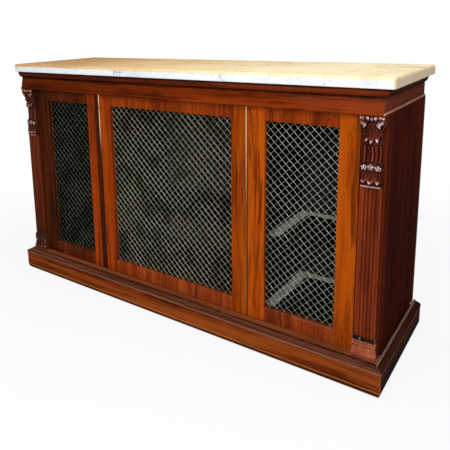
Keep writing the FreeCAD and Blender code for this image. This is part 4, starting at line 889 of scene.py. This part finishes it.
strip_brass = brass("strip_brass", 64, (206, 172, 136), (104, 84, 58), 0.4, 0.38,
                    dull_and_shaded_below=STRIPS_DULL_AND_SHADED_BELOW)
finish_node("brass_astragals", shaded_left_strip(strip_brass))
finish_node("keyhole_escutcheon", brass("escutcheon_brass", 65, (120, 84, 44), (84, 56, 28), 0.6, 0.5))
fitting_brass = brass("fitting_brass", 66, (200, 168, 112), (132, 104, 64), 0.55, 0.38)
for name in ("pivot_pins", "left_door_pivot_plates", "centre_door_pivot_plates", "right_door_pivot_plates",
             "lock_case", "lock_bolt", "flush_bolt_left", "flush_bolt_right"):
    finish_node(name, fitting_brass)


# ---- marble ---------------------------------------------------------------------------------------
# One white slab, 32 mm thick, with a thumb-moulded edge on three sides. Its top has yellowed under
# years of wax and is painted darker towards the left as shade; the moulded edge is still white, with
# grey veins, and the end faces are painted darker as shade.

WAX_LINE = (0.9195, 0.9255)     # metres above the floor; the stain runs this far down over the edge


def veined_marble(name):
    """White statuary marble with grey veins; the top face is waxed and stained honey yellow, painted darker
    towards the left as shade, and the end faces are painted darker as shade.
    """
    made, tree, place = start_material(name)
    drift = put(tree, "TexNoise", Vector=place, Scale=3.2, Detail=5, Roughness=0.6).outputs["Color"]
    bent = put(tree, "VectorMath", {"operation": "MULTIPLY_ADD"}, _0=drift, _1=(0.42, 0.42, 0.42),
               _2=place).outputs[0]
    slanted = put(tree, "Mapping", Vector=bent, Rotation=(0, math.radians(35), 0),
                  Scale=(1, 1, 4)).outputs[0]
    vein = distance(tree, cloudy(tree, stretched(tree, bent, 1, 2.2, 2.2), 3.4, 5, 0.55), 0.5)
    fine = distance(tree, cloudy(tree, stretched(tree, bent, 1, 2.4, 2), 10, 4, 0.55), 0.5)
    stroke = distance(tree, cloudy(tree, slanted, 7, 3, 0.5), 0.5)
    mist = cloudy(tree, stretched(tree, bent, 1, 1.8, 1.8), 4.5, 4, 0.6)
    strong = level(tree, cloudy(tree, place, 9, 3), 0.50, 0.66)

    white = stain(tree, level(tree, mist, 0.45, 0.72, 0, 0.6), tone(230, 234, 236), tone(200, 206, 212))
    strokes = times(tree, level(tree, stroke, 0.012, 0.002, 0, 0.75), strong)
    white = stain(tree, strokes, white, tone(96, 104, 126))
    veins = times(tree, level(tree, vein, 0.014, 0.002, 0, 0.35), strong)
    white = stain(tree, veins, white, tone(132, 138, 156))
    white = stain(tree, level(tree, fine, 0.020, 0.002, 0, 0.18), white, tone(150, 156, 162))

    across, _, height = split(tree, place)
    waver = minus(tree, cloudy(tree, place, 2.4, 3, 0.6), 0.5)
    leftward = sums(tree, "ADD", across, times(tree, waver, 0.8))
    aged_and_shaded = stain(tree, level(tree, leftward, -0.85, 0.15), tone(190, 136, 72), tone(236, 204, 146))
    aged_and_shaded = stain(tree, level(tree, leftward, -0.10, 0.60), aged_and_shaded, tone(252, 234, 190))
    aged_and_shaded = stain(tree, level(tree, mist, 0.45, 0.70, 0, 0.5), aged_and_shaded, tone(210, 170, 112))
    veins = times(tree, level(tree, vein, 0.020, 0.003, 0, 0.55), strong)
    aged_and_shaded = stain(tree, veins, aged_and_shaded, tone(160, 132, 104))
    aged_and_shaded = stain(tree, level(tree, fine, 0.020, 0.002, 0, 0.20), aged_and_shaded, tone(176, 150, 120))

    normal = outward(tree)
    waxed_to = sums(tree, "MULTIPLY_ADD", cloudy(tree, place, 30, 3), 0.004, height)
    waxed = most(tree, level(tree, normal[2], 0.62, 0.97), level(tree, waxed_to, *WAX_LINE))
    colour = stain(tree, times(tree, waxed, 0.94), white, aged_and_shaded)
    end_shade = times(tree, level(tree, sums(tree, "ABSOLUTE", normal[0]), 0.4, 0.8),
                 level(tree, cloudy(tree, place, 14, 4), 0.30, 0.55, 0.4, 0.95))
    colour = stain(tree, end_shade, colour, tone(232, 206, 168))

    smear = level(tree, cloudy(tree, place, 9, 4, 0.6), 0.3, 0.8, 0.16, 0.34)
    pits = level(tree, cloudy(tree, place, 260, 2, 0.5), 0.68, 0.78)
    hollows = minus(tree, cloudy(tree, place, 22, 3), pits)
    bump = put(tree, "Bump", Strength=0.15, Distance=0.0005, Height=hollows).outputs[0]
    show(tree, put(tree, "BsdfPrincipled", Base_Color=colour, Roughness=smear, Normal=bump,
                   Specular_IOR_Level=0, Coat_Weight=0.02, Coat_Roughness=0.16, Subsurface_Weight=0.08,
                   Subsurface_Radius=(0.006, 0.005, 0.004), Subsurface_Scale=1))
    return made


finish_node("marble_top", veined_marble("veined_marble"))


# ---- floor, light and camera ----------------------------------------------------------------------
# A plain pale floor that runs up into a white surround, one large soft lamp in front, a weaker one
# over the top, and the camera at the front right corner.

def seen_straight(tree):
    """1 for what is seen directly, mirrored or through glass, and 0 for light that falls on the piece."""
    rays = put(tree, "LightPath").outputs
    return most(tree, most(tree, rays["Is Camera Ray"], rays["Is Glossy Ray"]), rays["Is Transmission Ray"])


WHITE = (1, 1, 1, 1)
FLOOR_REACH = 30
floor_paint, tree, place = start_material("floor_paint")
matt = put(tree, "BsdfDiffuse", Color=(0.90, 0.90, 0.90, 1)).outputs[0]
glow = put(tree, "Emission", Color=WHITE, Strength=1).outputs[0]
away = put(tree, "VectorMath", {"operation": "LENGTH"}, _0=place).outputs["Value"]
seen = times(tree, seen_straight(tree), level(tree, away, 0.9, 2.4, 0.86, 1))
show(tree, put(tree, "MixShader", _0=seen, _1=matt, _2=glow))
floor_corners = [(x * FLOOR_REACH, y * FLOOR_REACH, 0) for x, y in ((-1, -1), (1, -1), (1, 1), (-1, 1))]
studio_floor = new_piece("studio_floor", floor_corners, [(0, 1, 2, 3)], floor_paint, 0)

surround = bpy.data.worlds.new("white_surround")
bpy.context.scene.world = surround
surround.use_nodes = True
tree = surround.node_tree
tree.nodes.clear()
dim = put(tree, "Background", Color=WHITE, Strength=0.40).outputs[0]
white = put(tree, "Background", Color=WHITE, Strength=1).outputs[0]
blend = put(tree, "MixShader", _0=seen_straight(tree), _1=dim, _2=white)
tree.links.new(blend.outputs[0], put(tree, "OutputWorld").inputs["Surface"])


def soft_lamp(name, place, aim, size, power):
    """A square soft lamp turned towards a point."""
    lamp = bpy.data.lights.new(name, "AREA")
    lamp.size = size
    lamp.energy = power
    holder = placed(name, lamp)
    holder.location = place
    holder.rotation_euler = (Vector(aim) - Vector(place)).to_track_quat("-Z", "Y").to_euler()


soft_lamp("front_lamp", (1.05, -2.8, 2), (0.3, 0, 0.45), 1.4, 61)
soft_lamp("top_lamp", (0.5, -0.5, 3.4), (0.25, 0, 0.9), 2, 33)

CAMERA_PLACE = (1.149245, -1.656063, 1.073559)
camera = bpy.data.cameras.new("camera")
camera.sensor_width = 36
camera.lens = 42.637
camera.shift_x, camera.shift_y = 0.1022, -0.2133
camera.clip_start, camera.clip_end = 0.05, 100
view = placed("camera", camera)
azimuth, elevation, roll = math.radians(36.65), math.radians(10.9584), math.radians(-1.4396)
ahead = Vector((-math.sin(azimuth) * math.cos(elevation), math.cos(azimuth) * math.cos(elevation),
                -math.sin(elevation)))
right = Vector((math.cos(azimuth), math.sin(azimuth), 0))
above = right.cross(ahead)
right, above = (math.cos(roll) * right + math.sin(roll) * above,
                math.cos(roll) * above - math.sin(roll) * right)
turn = Matrix((right, above, -ahead)).transposed()
view.matrix_world = Matrix.Translation(CAMERA_PLACE) @ turn.to_4x4()
bpy.context.scene.camera = view
bpy.context.scene.view_settings.view_transform = "Standard"
